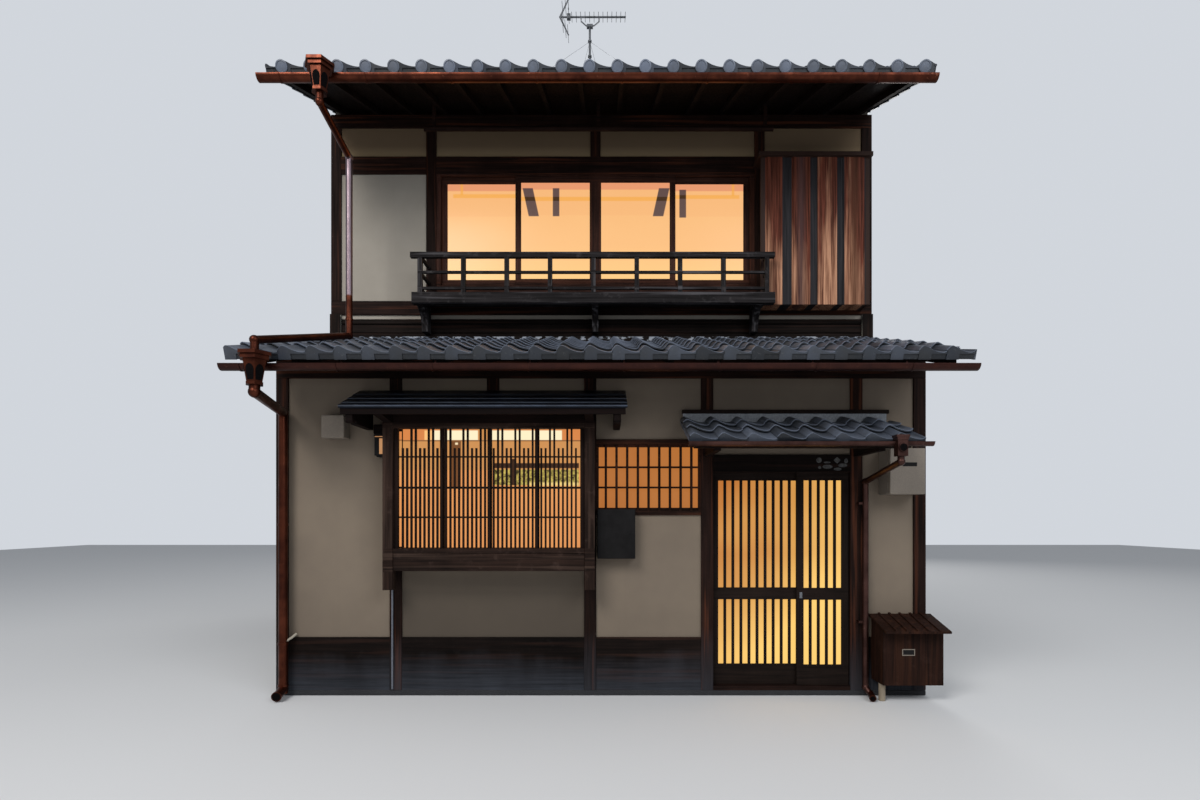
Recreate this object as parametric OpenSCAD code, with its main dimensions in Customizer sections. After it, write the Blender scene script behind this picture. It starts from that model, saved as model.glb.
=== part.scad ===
// A two-storey timber townhouse from a row, with plain party walls at both ends.
// Millimetres. X runs along the street front, Y runs from the street to the back, Z is up.
// The origin lies on the ground, in the middle of the ground-floor front face.

/* [Plan] */
// Width of the house over both party walls
house_w = 6220; // [6000:10:6600]
// Depth from the ground-floor front face to the back face
house_d = 7000; // [6000:50:9000]
// How far the upper front stands behind the ground-floor front
setback = 1190; // [900:10:1500]
// Side of a square post
post_w = 116; // [90:1:140]
// Thickness of the plaster between posts
plaster_t = 72; // [50:1:80]
// How far the plaster lies behind the face of the posts
plaster_back = 20; // [5:1:24]
// Centre to centre of the posts beside the bay window
window_bay_w = 1862; // [1700:5:1950]
// Centre to centre of the posts beside the high window
high_bay_w = 1120; // [1000:5:1180]
// Centre to centre of the posts beside the entrance
door_bay_w = 1429; // [1300:5:1500]
// Centre to centre, the post right of the entrance to the right corner post
end_bay_w = 606; // [560:2:700]

/* [Foundation and floors] */
// Height of the stone strip under the walls
plinth_h = 50; // [30:1:120]
// Width of the stone strip
plinth_w = 200; // [150:5:300]
// Thickness of the upper floor
floor_t = 90; // [60:1:140]
// Underside of the upper floor above the ground
upper_floor_z = 3640; // [3600:5:3690]

/* [Ground storey] */
// Height of the ground-floor posts above the stone strip
ground_post_h = 2986; // [2900:2:3100]
// Height of the beam on the ground-floor posts
plate_h = 181; // [140:1:220]
// Height of the boarding at the foot of the wall
wainscot_h = 507; // [350:1:700]
// Thickness of that boarding
wainscot_t = 16; // [10:1:20]

/* [Upper storey] */
// Height of the plain base between the lower roof boards and the upper sill beam
base_panel_h = 335; // [300:5:420]
// Height of the upper sill beam
upper_sill_h = 160; // [120:1:200]
// Height of the upper posts
upper_post_h = 1992; // [1900:2:2200]
// Height of the beam on the upper posts
upper_plate_h = 150; // [120:1:200]
// Centre to centre, the post right of the upper window to the right corner post
upper_end_bay_w = 1233; // [1150:1:1350]
// Centre to centre of the posts beside the upper window
upper_window_bay_w = 3777; // [3500:5:3900]
// Height of the upper head beam
head_beam_h = 200; // [120:1:220]
// Underside of the head beam above the sill beam
head_beam_up = 1461; // [1440:1:1520]

/* [Roofs] */
// Rise of the lower roof for each unit of run
lower_slope = 0.322; // [0.3:0.001:0.36]
// Rise of the main roof for each unit of run
main_slope = 0.4; // [0.35:0.01:0.5]
// Run of the lower roof in front of the ground-floor face
lower_eave = 765; // [600:5:850]
// Run of the main roof in front of the upper front
main_eave = 1330; // [1100:5:1400]
// Run of the main roof behind the back face
back_eave = 760; // [500:10:1200]
// Depth of a rafter
rafter_h = 70; // [50:1:100]
// Width of a rafter
rafter_w = 45; // [36:1:60]
// Centre to centre of the rafters
rafter_pitch = 382; // [300:2:480]
// Thickness of the roof boards
deck_t = 24; // [15:1:35]
// Depth of the tile layer, to the top of its rolls
tile_h = 75; // [66:1:95]
// Height of the roll of a tile over its trough
roll_h = 52; // [35:1:60]
// How far the eave tiles hang down in front of the roof boards
apron_h = 40; // [20:1:50]
// Radius of the round tile ends at the main eave
disc_r = 56; // [40:1:56]
// Width that one tile covers on the lower roof
lower_tile_w = 235; // [220:1:300]
// Width that one tile covers on the main roof
main_tile_w = 264; // [220:1:300]
// How far a roof runs past the party wall at each end
verge = 20; // [5:1:40]
// Height of the ridge tiles
ridge_h = 250; // [180:5:350]
// Width of the ridge tiles
ridge_w = 210; // [150:5:300]

/* [Gutters and pipes] */
// Radius of the main and lower gutters
gutter_r = 53; // [45:1:75]
// How far the gutter rim lies under the top of the roof boards at the eave
gutter_drop = 92; // [70:1:110]
// Wall thickness of the copper, drawn thicker than the sheet
copper_t = 3; // [2:0.5:5]
// Radius of the left downpipe
pipe_r = 42; // [30:1:48]
// Radius of the upper downpipe
upper_pipe_r = 33; // [25:1:40]
// Radius of the entrance downpipe
small_pipe_r = 28; // [20:1:35]
// Distance of the lower rain head from the left end of the house
lower_head_in = 320; // [250:5:400]

/* [Bay window] */
// How far the bay stands in front of the wall
bay_out = 220; // [150:5:300]
// Side of a bay post
bay_post_w = 96; // [70:1:120]
// Height of the bay posts
bay_post_h = 1547; // [1400:5:1700]
// Bottom of the bay posts above the ground
bay_foot_z = 1034; // [950:2:1100]
// Height of the beam under the bay
bay_beam_h = 166; // [120:1:200]
// Top of that beam above the foot of the posts
bay_beam_up = 341; // [300:1:400]
// Thickness of the sill board
sill_board_t = 42; // [25:1:60]
// Height of the beam over the bay opening
bay_head_h = 52; // [40:1:90]
// Width of a lattice slat
slat_w = 17; // [12:1:30]
// Width of a stile of the bay lattice
lattice_stile_w = 40; // [25:1:60]
// How much shorter the short slats are
short_by = 182; // [60:2:240]
// Depth of a lattice slat
slat_t = 24; // [15:1:35]
// Centre to centre of the lattice slats
slat_pitch = 39.4; // [36:0.2:55]
// How far the bay roof stands in front of the wall
bay_roof_out = 500; // [400:5:600]
// How far the bay roof runs past the bay posts at each end
bay_roof_over = 290; // [200:5:320]
// Fall of the bay roof for each unit of run
bay_roof_slope = 0.46; // [0.25:0.01:0.5]
// Height where the bay roof meets the wall, above the ground
bay_roof_z = 2918; // [2850:2:2930]

/* [High window] */
// Bottom of the frame above the ground
high_frame_z = 1725; // [1600:5:1800]
// Height of the frame
high_frame_h = 727; // [600:1:760]
// Width of the rails at the top and the bottom of the frame
high_frame_w = 72; // [50:1:90]
// Width of the stiles at both ends of the frame
high_stile_w = 24; // [15:1:60]
// Width of a lattice bar
high_bar_w = 23; // [12:1:30]
// Centre to centre of the lattice bars
high_bar_pitch = 102.5; // [80:0.5:140]

/* [Entrance] */
// Height of the threshold
threshold_h = 42; // [30:1:60]
// Underside of the head over the threshold
door_clear_h = 2044; // [1900:2:2100]
// Height of the door head
door_head_h = 60; // [45:1:80]
// Height of the board over the door head
transom_h = 110; // [80:1:150]
// Thickness of a door leaf
leaf_t = 30; // [24:1:34]
// Running gap between the door leaves, and beside them
run_gap = 8; // [5:0.5:10]
// Width of the left leaf
left_leaf_w = 856; // [840:2:900]
// Width of the right leaf
right_leaf_w = 500; // [450:2:560]
// Depth of the groove that guides the leaves
groove_d = 20; // [12:1:30]
// Gap between a leaf and its threshold, and between lower roof boards and their tiles
seat_gap = 0.3; // [0.1:0.1:1]
// Height of the bottom rail of a leaf
bottom_rail_h = 196; // [120:2:240]
// Height of the top rail of a leaf
top_rail_h = 88; // [60:2:120]
// Height of the middle rail of a leaf
mid_rail_h = 114; // [80:2:140]
// Top of the middle rail over the threshold
mid_rail_up = 934; // [800:2:1000]
// Width of a door slat
door_slat_w = 26; // [18:1:30]
// Width of the glass between two door slats
door_slit_w = 52; // [40:1:56]
// Thickness of the glass
glass_t = 5; // [3:0.5:8]

/* [Entrance roof] */
// How far the entrance roof stands in front of the wall
hood_out = 680; // [550:5:750]
// Width of the entrance roof
hood_w = 1995; // [1900:5:2050]
// Rise of the entrance roof for each unit of run
hood_slope = 0.38; // [0.3:0.01:0.45]
// Height where the entrance roof tiles meet the wall
hood_z = 2686; // [2640:2:2740]
// Width that one tile covers on the entrance roof
hood_tile_w = 247; // [220:1:300]
// Depth of the tile layer of the entrance roof
hood_tile_h = 60; // [56:1:80]
// Radius of the entrance gutter
hood_gutter_r = 38; // [30:1:45]
// Depth of the arms that carry the entrance roof, at the wall
hood_arm_h = 330; // [250:5:400]

/* [Balcony and shutter case] */
// How far the balcony stands in front of the upper wall
balcony_out = 380; // [300:5:450]
// Height of the balcony floor beam
balcony_beam_h = 118; // [90:1:150]
// Underside of the balcony beam above the upper sill beam's underside
balcony_up = 9; // [0:1:60]
// Height of the hand rail over the balcony beam
rail_up = 405; // [350:1:500]
// Width of a baluster
baluster_w = 48; // [30:1:60]
// Centre to centre of the balusters
baluster_pitch = 473; // [440:1:520]
// Depth of the shutter case
case_out = 240; // [180:5:300]
// Height of the shutter case
case_h = 1639; // [1500:1:1660]
// How far the cap of the shutter case lies over the head beam's underside
case_up = 59; // [0:1:150]
// How far the hanging rail for screens stands in front of the upper wall
screen_out = 360; // [300:5:400]

/* [Upper window] */
// Bottom of the window frame over the sill beam
window_up = 122; // [60:2:160]
// Height of the glass
pane_h = 1112; // [900:2:1120]
// Width of a sash stile
sash_w = 66; // [45:1:80]
// Thickness of a sash
sash_t = 30; // [24:1:36]

/* [Fittings] */
// Width of the mailbox
mailbox_w = 357; // [300:1:400]
// Height of the mailbox
mailbox_h = 469; // [380:1:500]
// How far the mailbox stands in front of the high window's face
mailbox_out = 115; // [80:1:160]
// Underside of the mailbox above the ground
mailbox_z = 1315; // [1150:5:1350]
// Width of the breaker box
breaker_w = 327; // [280:1:360]
// Height of the breaker box
breaker_h = 424; // [350:1:480]
// How far the breaker box stands in front of the wall
breaker_out = 214; // [120:1:240]
// Underside of the breaker box above the ground
breaker_z = 1919; // [1850:1:2000]
// Side of the small square box on the wall
pull_box_w = 214; // [150:1:260]
// How far the small square box stands in front of the wall
pull_box_out = 126; // [60:1:160]
// Underside of the small square box above the ground
pull_box_z = 2450; // [2300:5:2600]
// Width of the meter cabinet
cabinet_w = 553; // [460:1:560]
// Depth of the meter cabinet
cabinet_d = 250; // [200:1:350]
// Underside of the meter cabinet above the ground
cabinet_z = 164; // [100:1:250]
// Height of the meter cabinet's lid at the wall above the ground
cabinet_lid_z = 784; // [700:1:820]
// Height of the wall lamp
lamp_h = 316; // [250:1:400]
// Underside of the wall lamp above the ground
lamp_z = 2274; // [2200:2:2350]
// Height of the antenna mast over the ridge
mast_h = 1750; // [1400:10:2200]
// Distance of the antenna mast from the left end of the house
mast_in = 2910; // [2000:10:4200]
// Length of the antenna boom
boom_l = 1080; // [800:10:1300]

/* [Hidden] */

half_w = house_w / 2;
back_y = house_d - post_w;
inner_x = half_w - post_w;
upper_y = setback;

// Levels
ground_head_z = plinth_h + ground_post_h;
plate_z = ground_head_z + plate_h;
wall_foot_z = plate_z + setback * lower_slope;
base_top_z = wall_foot_z + rafter_h + deck_t + base_panel_h;
upper_post_z = base_top_z + upper_sill_h;
upper_head_z = upper_post_z + upper_post_h;
main_plate_z = upper_head_z + upper_plate_h;
head_beam_z = upper_post_z + head_beam_up;
ridge_y = (setback + house_d) / 2;
ridge_under_z = main_plate_z + (ridge_y - setback) * main_slope;

// Post centres along X
corner_x = half_w - post_w / 2;
ground_x = [
    -corner_x,
    corner_x - end_bay_w - door_bay_w - high_bay_w - window_bay_w,
    corner_x - end_bay_w - door_bay_w - high_bay_w,
    corner_x - end_bay_w - door_bay_w,
    corner_x - end_bay_w,
    corner_x
];
upper_x = [
    -corner_x,
    corner_x - upper_end_bay_w - upper_window_bay_w,
    corner_x - upper_end_bay_w,
    corner_x
];
function right_of(x) = x + post_w / 2;
function left_of(x) = x - post_w / 2;

// Underside of the rafters of each roof at a place along Y
function lower_rafter_z(y) = plate_z + y * lower_slope;
function main_rafter_z(y) = ridge_under_z - abs(y - ridge_y) * main_slope;

module block(lo, hi) {
    translate(lo) cube(hi - lo);
}

// A profile drawn with Y to the right and Z up, run along X from x0 to x1
module run_x(x0, x1) {
    translate([x0, 0, 0]) rotate([90, 0, 90]) linear_extrude(height = x1 - x0) children();
}

module pipe_between(a, b, r) {
    d = b - a;
    len = norm(d);
    turn = atan2(d[1], d[0]);
    lean = acos(d[2] / len);
    translate(a) rotate([0, lean, turn]) cylinder(r = r, h = len, $fn = 24);
}

// Walls and floors

module foundation() {
    color("dimgray") difference() {
        block([-half_w, 0, 0], [half_w, house_d, plinth_h]);
        block([-half_w + plinth_w, plinth_w, -1], [half_w - plinth_w, house_d - plinth_w, plinth_h + 1]);
    }
}

module ground_floor() {
    color("gray")
        block([-half_w + plinth_w, plinth_w, 0], [half_w - plinth_w, house_d - plinth_w, plinth_h]);
}

module upper_floor() {
    color("sienna")
        block([-inner_x, upper_y + post_w, upper_floor_z], [inner_x, back_y, upper_floor_z + floor_t]);
}

// The end wall follows both roofs up to the underside of their boards
module party_wall(x0) {
    y1 = upper_y + post_w;
    run_x(x0, x0 + post_w) polygon([
        [post_w, plinth_h],
        [back_y, plinth_h],
        [back_y, main_rafter_z(back_y) + rafter_h],
        [ridge_y, ridge_under_z + rafter_h],
        [y1, main_rafter_z(y1) + rafter_h],
        [y1, base_top_z],
        [upper_y, base_top_z],
        [upper_y, lower_rafter_z(upper_y) + rafter_h],
        [post_w, lower_rafter_z(post_w) + rafter_h]
    ]);
}

module left_party_wall() {
    color("wheat") party_wall(-half_w);
}

module right_party_wall() {
    color("wheat") party_wall(inner_x);
}

module post(x, y, z0, z1) {
    block([left_of(x), y, z0], [right_of(x), y + post_w, z1]);
}

// The short post over the bay window stands on the wall beam there
bay_mid_x = (ground_x[1] + ground_x[2]) / 2;
bay_top_z = bay_foot_z + bay_post_h;
opening_top_z = bay_top_z - bay_head_h;

module ground_posts() {
    color("saddlebrown") {
        for (x = ground_x) post(x, 0, plinth_h, ground_head_z);
        post(bay_mid_x, 0, bay_top_z, ground_head_z);
        for (x = back_x) post(x, back_y, plinth_h, upper_head_z);
    }
}

back_x = [-half_w + post_w / 2, -house_w / 6, house_w / 6, half_w - post_w / 2];

module upper_posts() {
    color("saddlebrown") {
        for (x = upper_x) post(x, upper_y, upper_post_z, upper_head_z);
        post((upper_x[1] + upper_x[2]) / 2, upper_y, head_beam_z + head_beam_h, upper_head_z);
    }
}

board_t = 18;
module wall_beams() {
    color("saddlebrown") {
        // Beam under the lower rafters
        block([-half_w, 0, ground_head_z], [half_w, post_w, plate_z]);
        // Beam that carries the upper front, between the party walls
        block([-inner_x, upper_y, wall_foot_z - 180], [inner_x, upper_y + post_w, wall_foot_z + rafter_h]);
        // Sill beam of the upper front
        block([-half_w, upper_y, base_top_z], [half_w, upper_y + post_w, upper_post_z]);
        // Three boards across the base of the upper front
        for (up = [[-262, -212], [-206, -115], [-103, -49]])
            block([-inner_x, upper_y + plaster_back - board_t, base_top_z + up[0]],
                [inner_x, upper_y + plaster_back, base_top_z + up[1]]);
        // Head beam pieces between the upper posts
        for (i = [0:2])
            block([right_of(upper_x[i]), upper_y, head_beam_z],
                [left_of(upper_x[i + 1]), upper_y + post_w, head_beam_z + head_beam_h]);
        // Beams under the main rafters
        block([-half_w, upper_y, upper_head_z], [half_w, upper_y + post_w, main_plate_z]);
        block([-half_w, back_y, upper_head_z], [half_w, house_d, main_plate_z]);
    }
}

module front_panel(x0, x1, z0, z1, y = 0) {
    block([x0, y + plaster_back, z0], [x1, y + plaster_back + plaster_t, z1]);
}

module lower_wall_panels() {
    sill_z = bay_foot_z + bay_beam_up;
    color("wheat") {
        front_panel(right_of(ground_x[0]), left_of(ground_x[1]), plinth_h, ground_head_z);
        front_panel(right_of(ground_x[1]), left_of(ground_x[2]), plinth_h, sill_z);
        front_panel(right_of(ground_x[1]), left_of(bay_mid_x), bay_top_z, ground_head_z);
        front_panel(right_of(bay_mid_x), left_of(ground_x[2]), bay_top_z, ground_head_z);
        front_panel(right_of(ground_x[2]), left_of(ground_x[3]), plinth_h, high_frame_z);
        front_panel(right_of(ground_x[2]), left_of(ground_x[3]), high_frame_z + high_frame_h, ground_head_z);
        front_panel(right_of(ground_x[3]), left_of(ground_x[4]), transom_top_z, ground_head_z);
        front_panel(right_of(ground_x[4]), left_of(ground_x[5]), plinth_h, ground_head_z);
    }
}

module wainscot() {
    color("saddlebrown")
        for (i = [0, 1, 2, 4])
            block([right_of(ground_x[i]), plaster_back - wainscot_t, plinth_h],
                [left_of(ground_x[i + 1]), plaster_back, plinth_h + wainscot_h]);
}

// The mortar strip lies on the roof boards, in the gap behind the last course of tiles
mortar_w = 22;
mortar_h = 82;
module upper_wall_panels() {
    deck_z = lower_rafter_z(upper_y) + rafter_h + deck_t;
    color("wheat") {
        run_x(-half_w, half_w) polygon([
            [upper_y - mortar_w, deck_z - mortar_w * lower_slope], [upper_y, deck_z],
            [upper_y, deck_z + mortar_h], [upper_y - mortar_w, deck_z + mortar_h]
        ]);
        front_panel(-inner_x, inner_x, wall_foot_z + rafter_h, base_top_z, upper_y);
        front_panel(right_of(upper_x[0]), left_of(upper_x[1]), upper_post_z, head_beam_z, upper_y);
        front_panel(right_of(upper_x[2]), left_of(upper_x[3]), upper_post_z, head_beam_z, upper_y);
        for (i = [0, 2])
            front_panel(right_of(upper_x[i]), left_of(upper_x[i + 1]),
                head_beam_z + head_beam_h, upper_head_z, upper_y);
        mid = (upper_x[1] + upper_x[2]) / 2;
        front_panel(right_of(upper_x[1]), left_of(mid), head_beam_z + head_beam_h, upper_head_z, upper_y);
        front_panel(right_of(mid), left_of(upper_x[2]), head_beam_z + head_beam_h, upper_head_z, upper_y);
    }
}

// The back repeats the storeys: plaster between posts, one window on each floor
back_win = [[900, 2300], [4300, 5600]];
module back_panel(i, z0, z1) {
    block([right_of(back_x[i]), house_d - plaster_back - plaster_t, z0],
        [left_of(back_x[i + 1]), house_d - plaster_back, z1]);
}

module back_wall_panels() {
    color("wheat") {
        for (i = [0, 2]) back_panel(i, plinth_h, upper_head_z);
        back_panel(1, plinth_h, back_win[0][0]);
        back_panel(1, back_win[0][1], back_win[1][0]);
        back_panel(1, back_win[1][1], upper_head_z);
    }
}

back_frame_w = 70;
module back_windows() {
    x0 = right_of(back_x[1]);
    x1 = left_of(back_x[2]);
    color("saddlebrown") for (w = back_win) difference() {
        block([x0, back_y + run_gap, w[0]], [x1, house_d, w[1]]);
        for (s = [[x0 + back_frame_w, -back_frame_w / 2], [back_frame_w / 2, x1 - back_frame_w]])
            block([s[0], back_y - 1, w[0] + back_frame_w], [s[1], house_d + 1, w[1] - back_frame_w]);
    }
}

// One pane closes each glazed opening and sits inside its frame
module window_glass() {
    color("moccasin", 0.8) {
        // Behind the bay lattice
        block([right_of(ground_x[1]), bay_glass_y, bay_foot_z + bay_beam_up],
            [left_of(ground_x[2]), bay_glass_y + glass_t, bay_top_z]);
        // Behind the high lattice
        block([high_gx0, high_glass_y, high_gz0], [high_gx1, high_glass_y + glass_t, high_gz1]);
        // Upper window, one pane in each sash
        for (i = [0:3])
            block([sash_x(i) + sash_w, sash_y(i) + (sash_t - glass_t) / 2, pane_z],
                [sash_x(i) + one_sash_w - sash_w, sash_y(i) + (sash_t + glass_t) / 2, pane_z + pane_h]);
        // Back windows
        back_glass_y = house_d - post_w / 2;
        x0 = right_of(back_x[1]) + back_frame_w;
        for (w = back_win) for (s = [[x0, -back_frame_w / 2], [back_frame_w / 2, -x0]])
            block([s[0], back_glass_y, w[0] + back_frame_w],
                [s[1], back_glass_y + glass_t, w[1] - back_frame_w]);
    }
}

// Bay window

bay_x0 = ground_x[1] - bay_post_w / 2;
bay_x1 = ground_x[2] + bay_post_w / 2;
bay_glass_y = plaster_back + 20;
bay_sill_z = bay_foot_z + bay_beam_up;

side_board_in = 30;
module bay_frame() {
    front = -bay_out;
    back = front + bay_post_w;
    color("saddlebrown") union() {
        for (side = [0, 1]) {
            x = side == 0 ? bay_x0 : bay_x1 - bay_post_w;
            board_x = side == 0 ? bay_x0 + side_board_in : bay_x1 - side_board_in - board_t;
            // Post, and the two ties that run back from it to the wall post
            block([x, front, bay_foot_z], [x + bay_post_w, back, bay_top_z]);
            block([x, back - 1, bay_sill_z - bay_beam_h], [x + bay_post_w, 0, bay_sill_z]);
            block([x, back - 1, opening_top_z], [x + bay_post_w, 0, bay_top_z]);
            // Side board that closes the bay between its post and the wall
            block([board_x, back - 1, bay_sill_z - 1], [board_x + board_t, 0, opening_top_z + 1]);
        }
        // Beam under the bay, and head over its opening
        block([bay_x0 + 1, front + 10, bay_sill_z - bay_beam_h], [bay_x1 - 1, back, bay_sill_z]);
        block([bay_x0 + 1, front + 10, opening_top_z], [bay_x1 - 1, back, bay_top_z]);
        // Sill board, from the front of the bay to the wall panel
        block([bay_x0 + side_board_in + 1, front + 4, bay_sill_z - 1],
            [bay_x1 - side_board_in - 1, 0, bay_sill_z + sill_board_t]);
    }
}

lattice_x0 = bay_x0 + bay_post_w;
lattice_x1 = bay_x1 - bay_post_w;
lattice_z0 = bay_sill_z + sill_board_t;
lattice_y = -bay_out + 30;
// Slats between end stiles, two tall and two short in turn. Three stiles and three rails behind
// them divide the lattice.
module bay_lattice() {
    x0 = lattice_x0 + lattice_stile_w;
    x1 = lattice_x1 - lattice_stile_w;
    n = floor((x1 - x0) / slat_pitch);
    step = (x1 - x0) / n;
    tall = opening_top_z;
    back = lattice_y + slat_t;
    rails = [[0.26, 16], [0.507, 20], [0.765, 14]];
    color("peru") union() {
        for (i = [1:n - 1])
            block([x0 + i * step - slat_w / 2, lattice_y, lattice_z0],
                [x0 + i * step + slat_w / 2, back, i % 4 == 0 || i % 4 == 3 ? tall : tall - short_by]);
        for (x = [lattice_x0, x1])
            block([x, lattice_y, lattice_z0], [x + lattice_stile_w, back + 10, tall]);
        for (part = [0.25, 0.5, 0.75]) {
            x = lattice_x0 + part * (lattice_x1 - lattice_x0) - lattice_stile_w / 2;
            block([x, back - 2, lattice_z0], [x + lattice_stile_w, back + 24, tall]);
        }
        for (r = rails) {
            z = lattice_z0 + r[0] * (tall - lattice_z0);
            block([lattice_x0, back - 2, z - r[1] / 2], [lattice_x1, back + 10, z + r[1] / 2]);
        }
    }
}

bay_roof_x0 = bay_x0 - bay_roof_over;
bay_roof_x1 = bay_x1 + bay_roof_over;
// Places of the laps between the roof sheets, as parts of the run, and the step at each lap
bay_laps = [0, 0.36, 0.57, 0.8, 1];
lap_step = 6;
nose_w = 62;
nose_in = 55;
nose_h = 72;
module bay_roof() {
    drop = bay_roof_out * bay_roof_slope;
    laps = [for (i = [0:3]) for (k = [0, 1])
        [-bay_laps[i + k] * bay_roof_out, bay_roof_z - bay_laps[i + k] * drop + k * lap_step]];
    nose_z = bay_roof_z - drop - 75 - nose_h;
    color("midnightblue") union() {
        run_x(bay_roof_x0, bay_roof_x1) polygon(concat(laps,
            [[-bay_roof_out, bay_roof_z - drop - 22], [0, bay_roof_z - 22]]));
        // Two arms at the roof's ends, with a rounded nose
        for (x = [bay_roof_x0 + nose_in, bay_roof_x1 - nose_in - nose_w])
            run_x(x, x + nose_w) difference() {
                polygon([
                    [plaster_back, bay_roof_z - 21], [plaster_back, nose_z],
                    [-bay_roof_out + 40, nose_z], [-bay_roof_out + 25, nose_z + 20],
                    [-bay_roof_out + 25, bay_roof_z - drop - 12], [0, bay_roof_z - 12],
                    [0, bay_roof_z - 21]
                ]);
                translate([-bay_roof_out + 110, nose_z - 6]) circle(r = 30, $fn = 24);
            }
        // Fascia and soffit board
        run_x(bay_roof_x0 + 15, bay_roof_x1 - 15) polygon([
            [-bay_roof_out + 12, bay_roof_z - drop - 20], [-bay_roof_out + 12, bay_roof_z - drop - 75],
            [-bay_roof_out + 32, bay_roof_z - drop - 75], [-bay_roof_out + 32, bay_roof_z - drop - 10]
        ]);
        // Arms that carry the roof on the bay posts
        for (x = [bay_x0, bay_x1 - bay_post_w])
            run_x(x + 10, x + bay_post_w - 10) polygon([
                [0, bay_roof_z - 20], [0, bay_top_z], [-bay_out, bay_top_z],
                [-bay_roof_out + 20, bay_roof_z - drop - 76], [-bay_roof_out + 20, bay_roof_z - drop - 14]
            ]);
    }
}

// High window

high_glass_y = plaster_back + 40;
high_face_y = 5;
high_x0 = right_of(ground_x[2]);
high_x1 = left_of(ground_x[3]);
high_gx0 = high_x0 + high_stile_w;
high_gx1 = high_x1 - high_stile_w;
high_gz0 = high_frame_z + high_frame_w;
high_gz1 = high_frame_z + high_frame_h - high_frame_w;
high_rebate = 28;
module high_window() {
    bar_t = 20;
    rail_h = 18;
    middle = (high_gx0 + high_gx1) / 2;
    bars = floor((high_gx1 - high_gx0) / high_bar_pitch);
    color("saddlebrown") union() {
        difference() {
            block([high_x0, high_face_y, high_frame_z],
                [high_x1, plaster_back + plaster_t, high_frame_z + high_frame_h]);
            block([high_gx0, 0, high_gz0], [high_gx1, 2 * post_w, high_gz1]);
            block([high_gx0, 0, high_gz0 - high_rebate],
                [high_gx1, high_face_y + bar_t, high_gz1 + high_rebate]);
        }
        // Bars let into the rebate of both rails
        for (i = [0:bars - 1]) {
            x = middle + (i - (bars - 1) / 2) * high_bar_pitch;
            block([x - high_bar_w / 2, high_face_y, high_gz0 - high_rebate - 1],
                [x + high_bar_w / 2, high_face_y + bar_t + 1, high_gz1 + high_rebate + 1]);
        }
        for (i = [1, 2]) {
            z = high_gz0 + i * (high_gz1 - high_gz0) / 3;
            block([high_gx0 - 1, high_face_y + bar_t - 2, z - rail_h / 2],
                [high_gx1 + 1, high_face_y + bar_t + 14, z + rail_h / 2]);
        }
    }
}

// Entrance

door_x0 = right_of(ground_x[3]);
door_x1 = left_of(ground_x[4]);
threshold_z = plinth_h + threshold_h;
door_head_z = threshold_z + door_clear_h;
transom_top_z = door_head_z + door_head_h + transom_h;
front_leaf_y = (post_w - 2 * leaf_t - run_gap) / 2;
back_leaf_y = front_leaf_y + leaf_t + run_gap;
leaf_z0 = threshold_z + seat_gap;
leaf_z1 = door_head_z + groove_d - run_gap;
groove_gap = 3;

module door_frame() {
    color("saddlebrown") {
        block([door_x0, 0, plinth_h], [door_x1, post_w, threshold_z]);
        union() {
            difference() {
                block([door_x0, 0, door_head_z], [door_x1, post_w, door_head_z + door_head_h]);
                block([door_x0 - 1, front_leaf_y - groove_gap, door_head_z - 1],
                    [door_x1 + 1, back_leaf_y + leaf_t + groove_gap, door_head_z + groove_d]);
            }
            // Bead that parts the two grooves
            block([door_x0, front_leaf_y + leaf_t + groove_gap, door_head_z],
                [door_x1, back_leaf_y - groove_gap, door_head_z + groove_d]);
            block([door_x0, plaster_back, door_head_z + door_head_h],
                [door_x1, plaster_back + 30, transom_top_z]);
        }
    }
}

// Slats between two rails, with a stile at each side
module door_leaf(x0, w, y, slits) {
    z_mid = threshold_z + mid_rail_up;
    pitch = door_slat_w + door_slit_w;
    inside = slits * door_slit_w + (slits - 1) * door_slat_w;
    first = x0 + (w - inside) / 2;
    union() {
        difference() {
            block([x0, y, leaf_z0], [x0 + w, y + leaf_t, leaf_z1]);
            block([first, y - 1, leaf_z0 + bottom_rail_h],
                [first + inside, y + leaf_t + 1, z_mid - mid_rail_h]);
            block([first, y - 1, z_mid], [first + inside, y + leaf_t + 1, leaf_z1 - top_rail_h]);
        }
        for (i = [1:slits - 1])
            block([first + i * pitch - door_slat_w, y, leaf_z0 + bottom_rail_h],
                [first + i * pitch, y + leaf_t - glass_t - 6, leaf_z1 - top_rail_h]);
    }
}

// Two panes behind the slats, one over and one under the middle rail
module door_panes(x0, w, y, slits) {
    z_mid = threshold_z + mid_rail_up;
    inside = slits * door_slit_w + (slits - 1) * door_slat_w;
    first = x0 + (w - inside) / 2;
    y0 = y + leaf_t - glass_t - 6;
    block([first, y0, leaf_z0 + bottom_rail_h], [first + inside, y0 + glass_t, z_mid - mid_rail_h]);
    block([first, y0, z_mid], [first + inside, y0 + glass_t, leaf_z1 - top_rail_h]);
}

left_leaf_x = door_x0 + run_gap;
right_leaf_x = door_x1 - run_gap - right_leaf_w;
left_slits = 10;
right_slits = 5;

module left_door_leaf() {
    color("saddlebrown") door_leaf(left_leaf_x, left_leaf_w, back_leaf_y, left_slits);
}

module left_door_glass() {
    color("moccasin", 0.8) door_panes(left_leaf_x, left_leaf_w, back_leaf_y, left_slits);
}

module right_door_leaf() {
    color("saddlebrown") door_leaf(right_leaf_x, right_leaf_w, front_leaf_y, right_slits);
}

module right_door_glass() {
    color("moccasin", 0.8) door_panes(right_leaf_x, right_leaf_w, front_leaf_y, right_slits);
}

// Entrance roof

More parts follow.
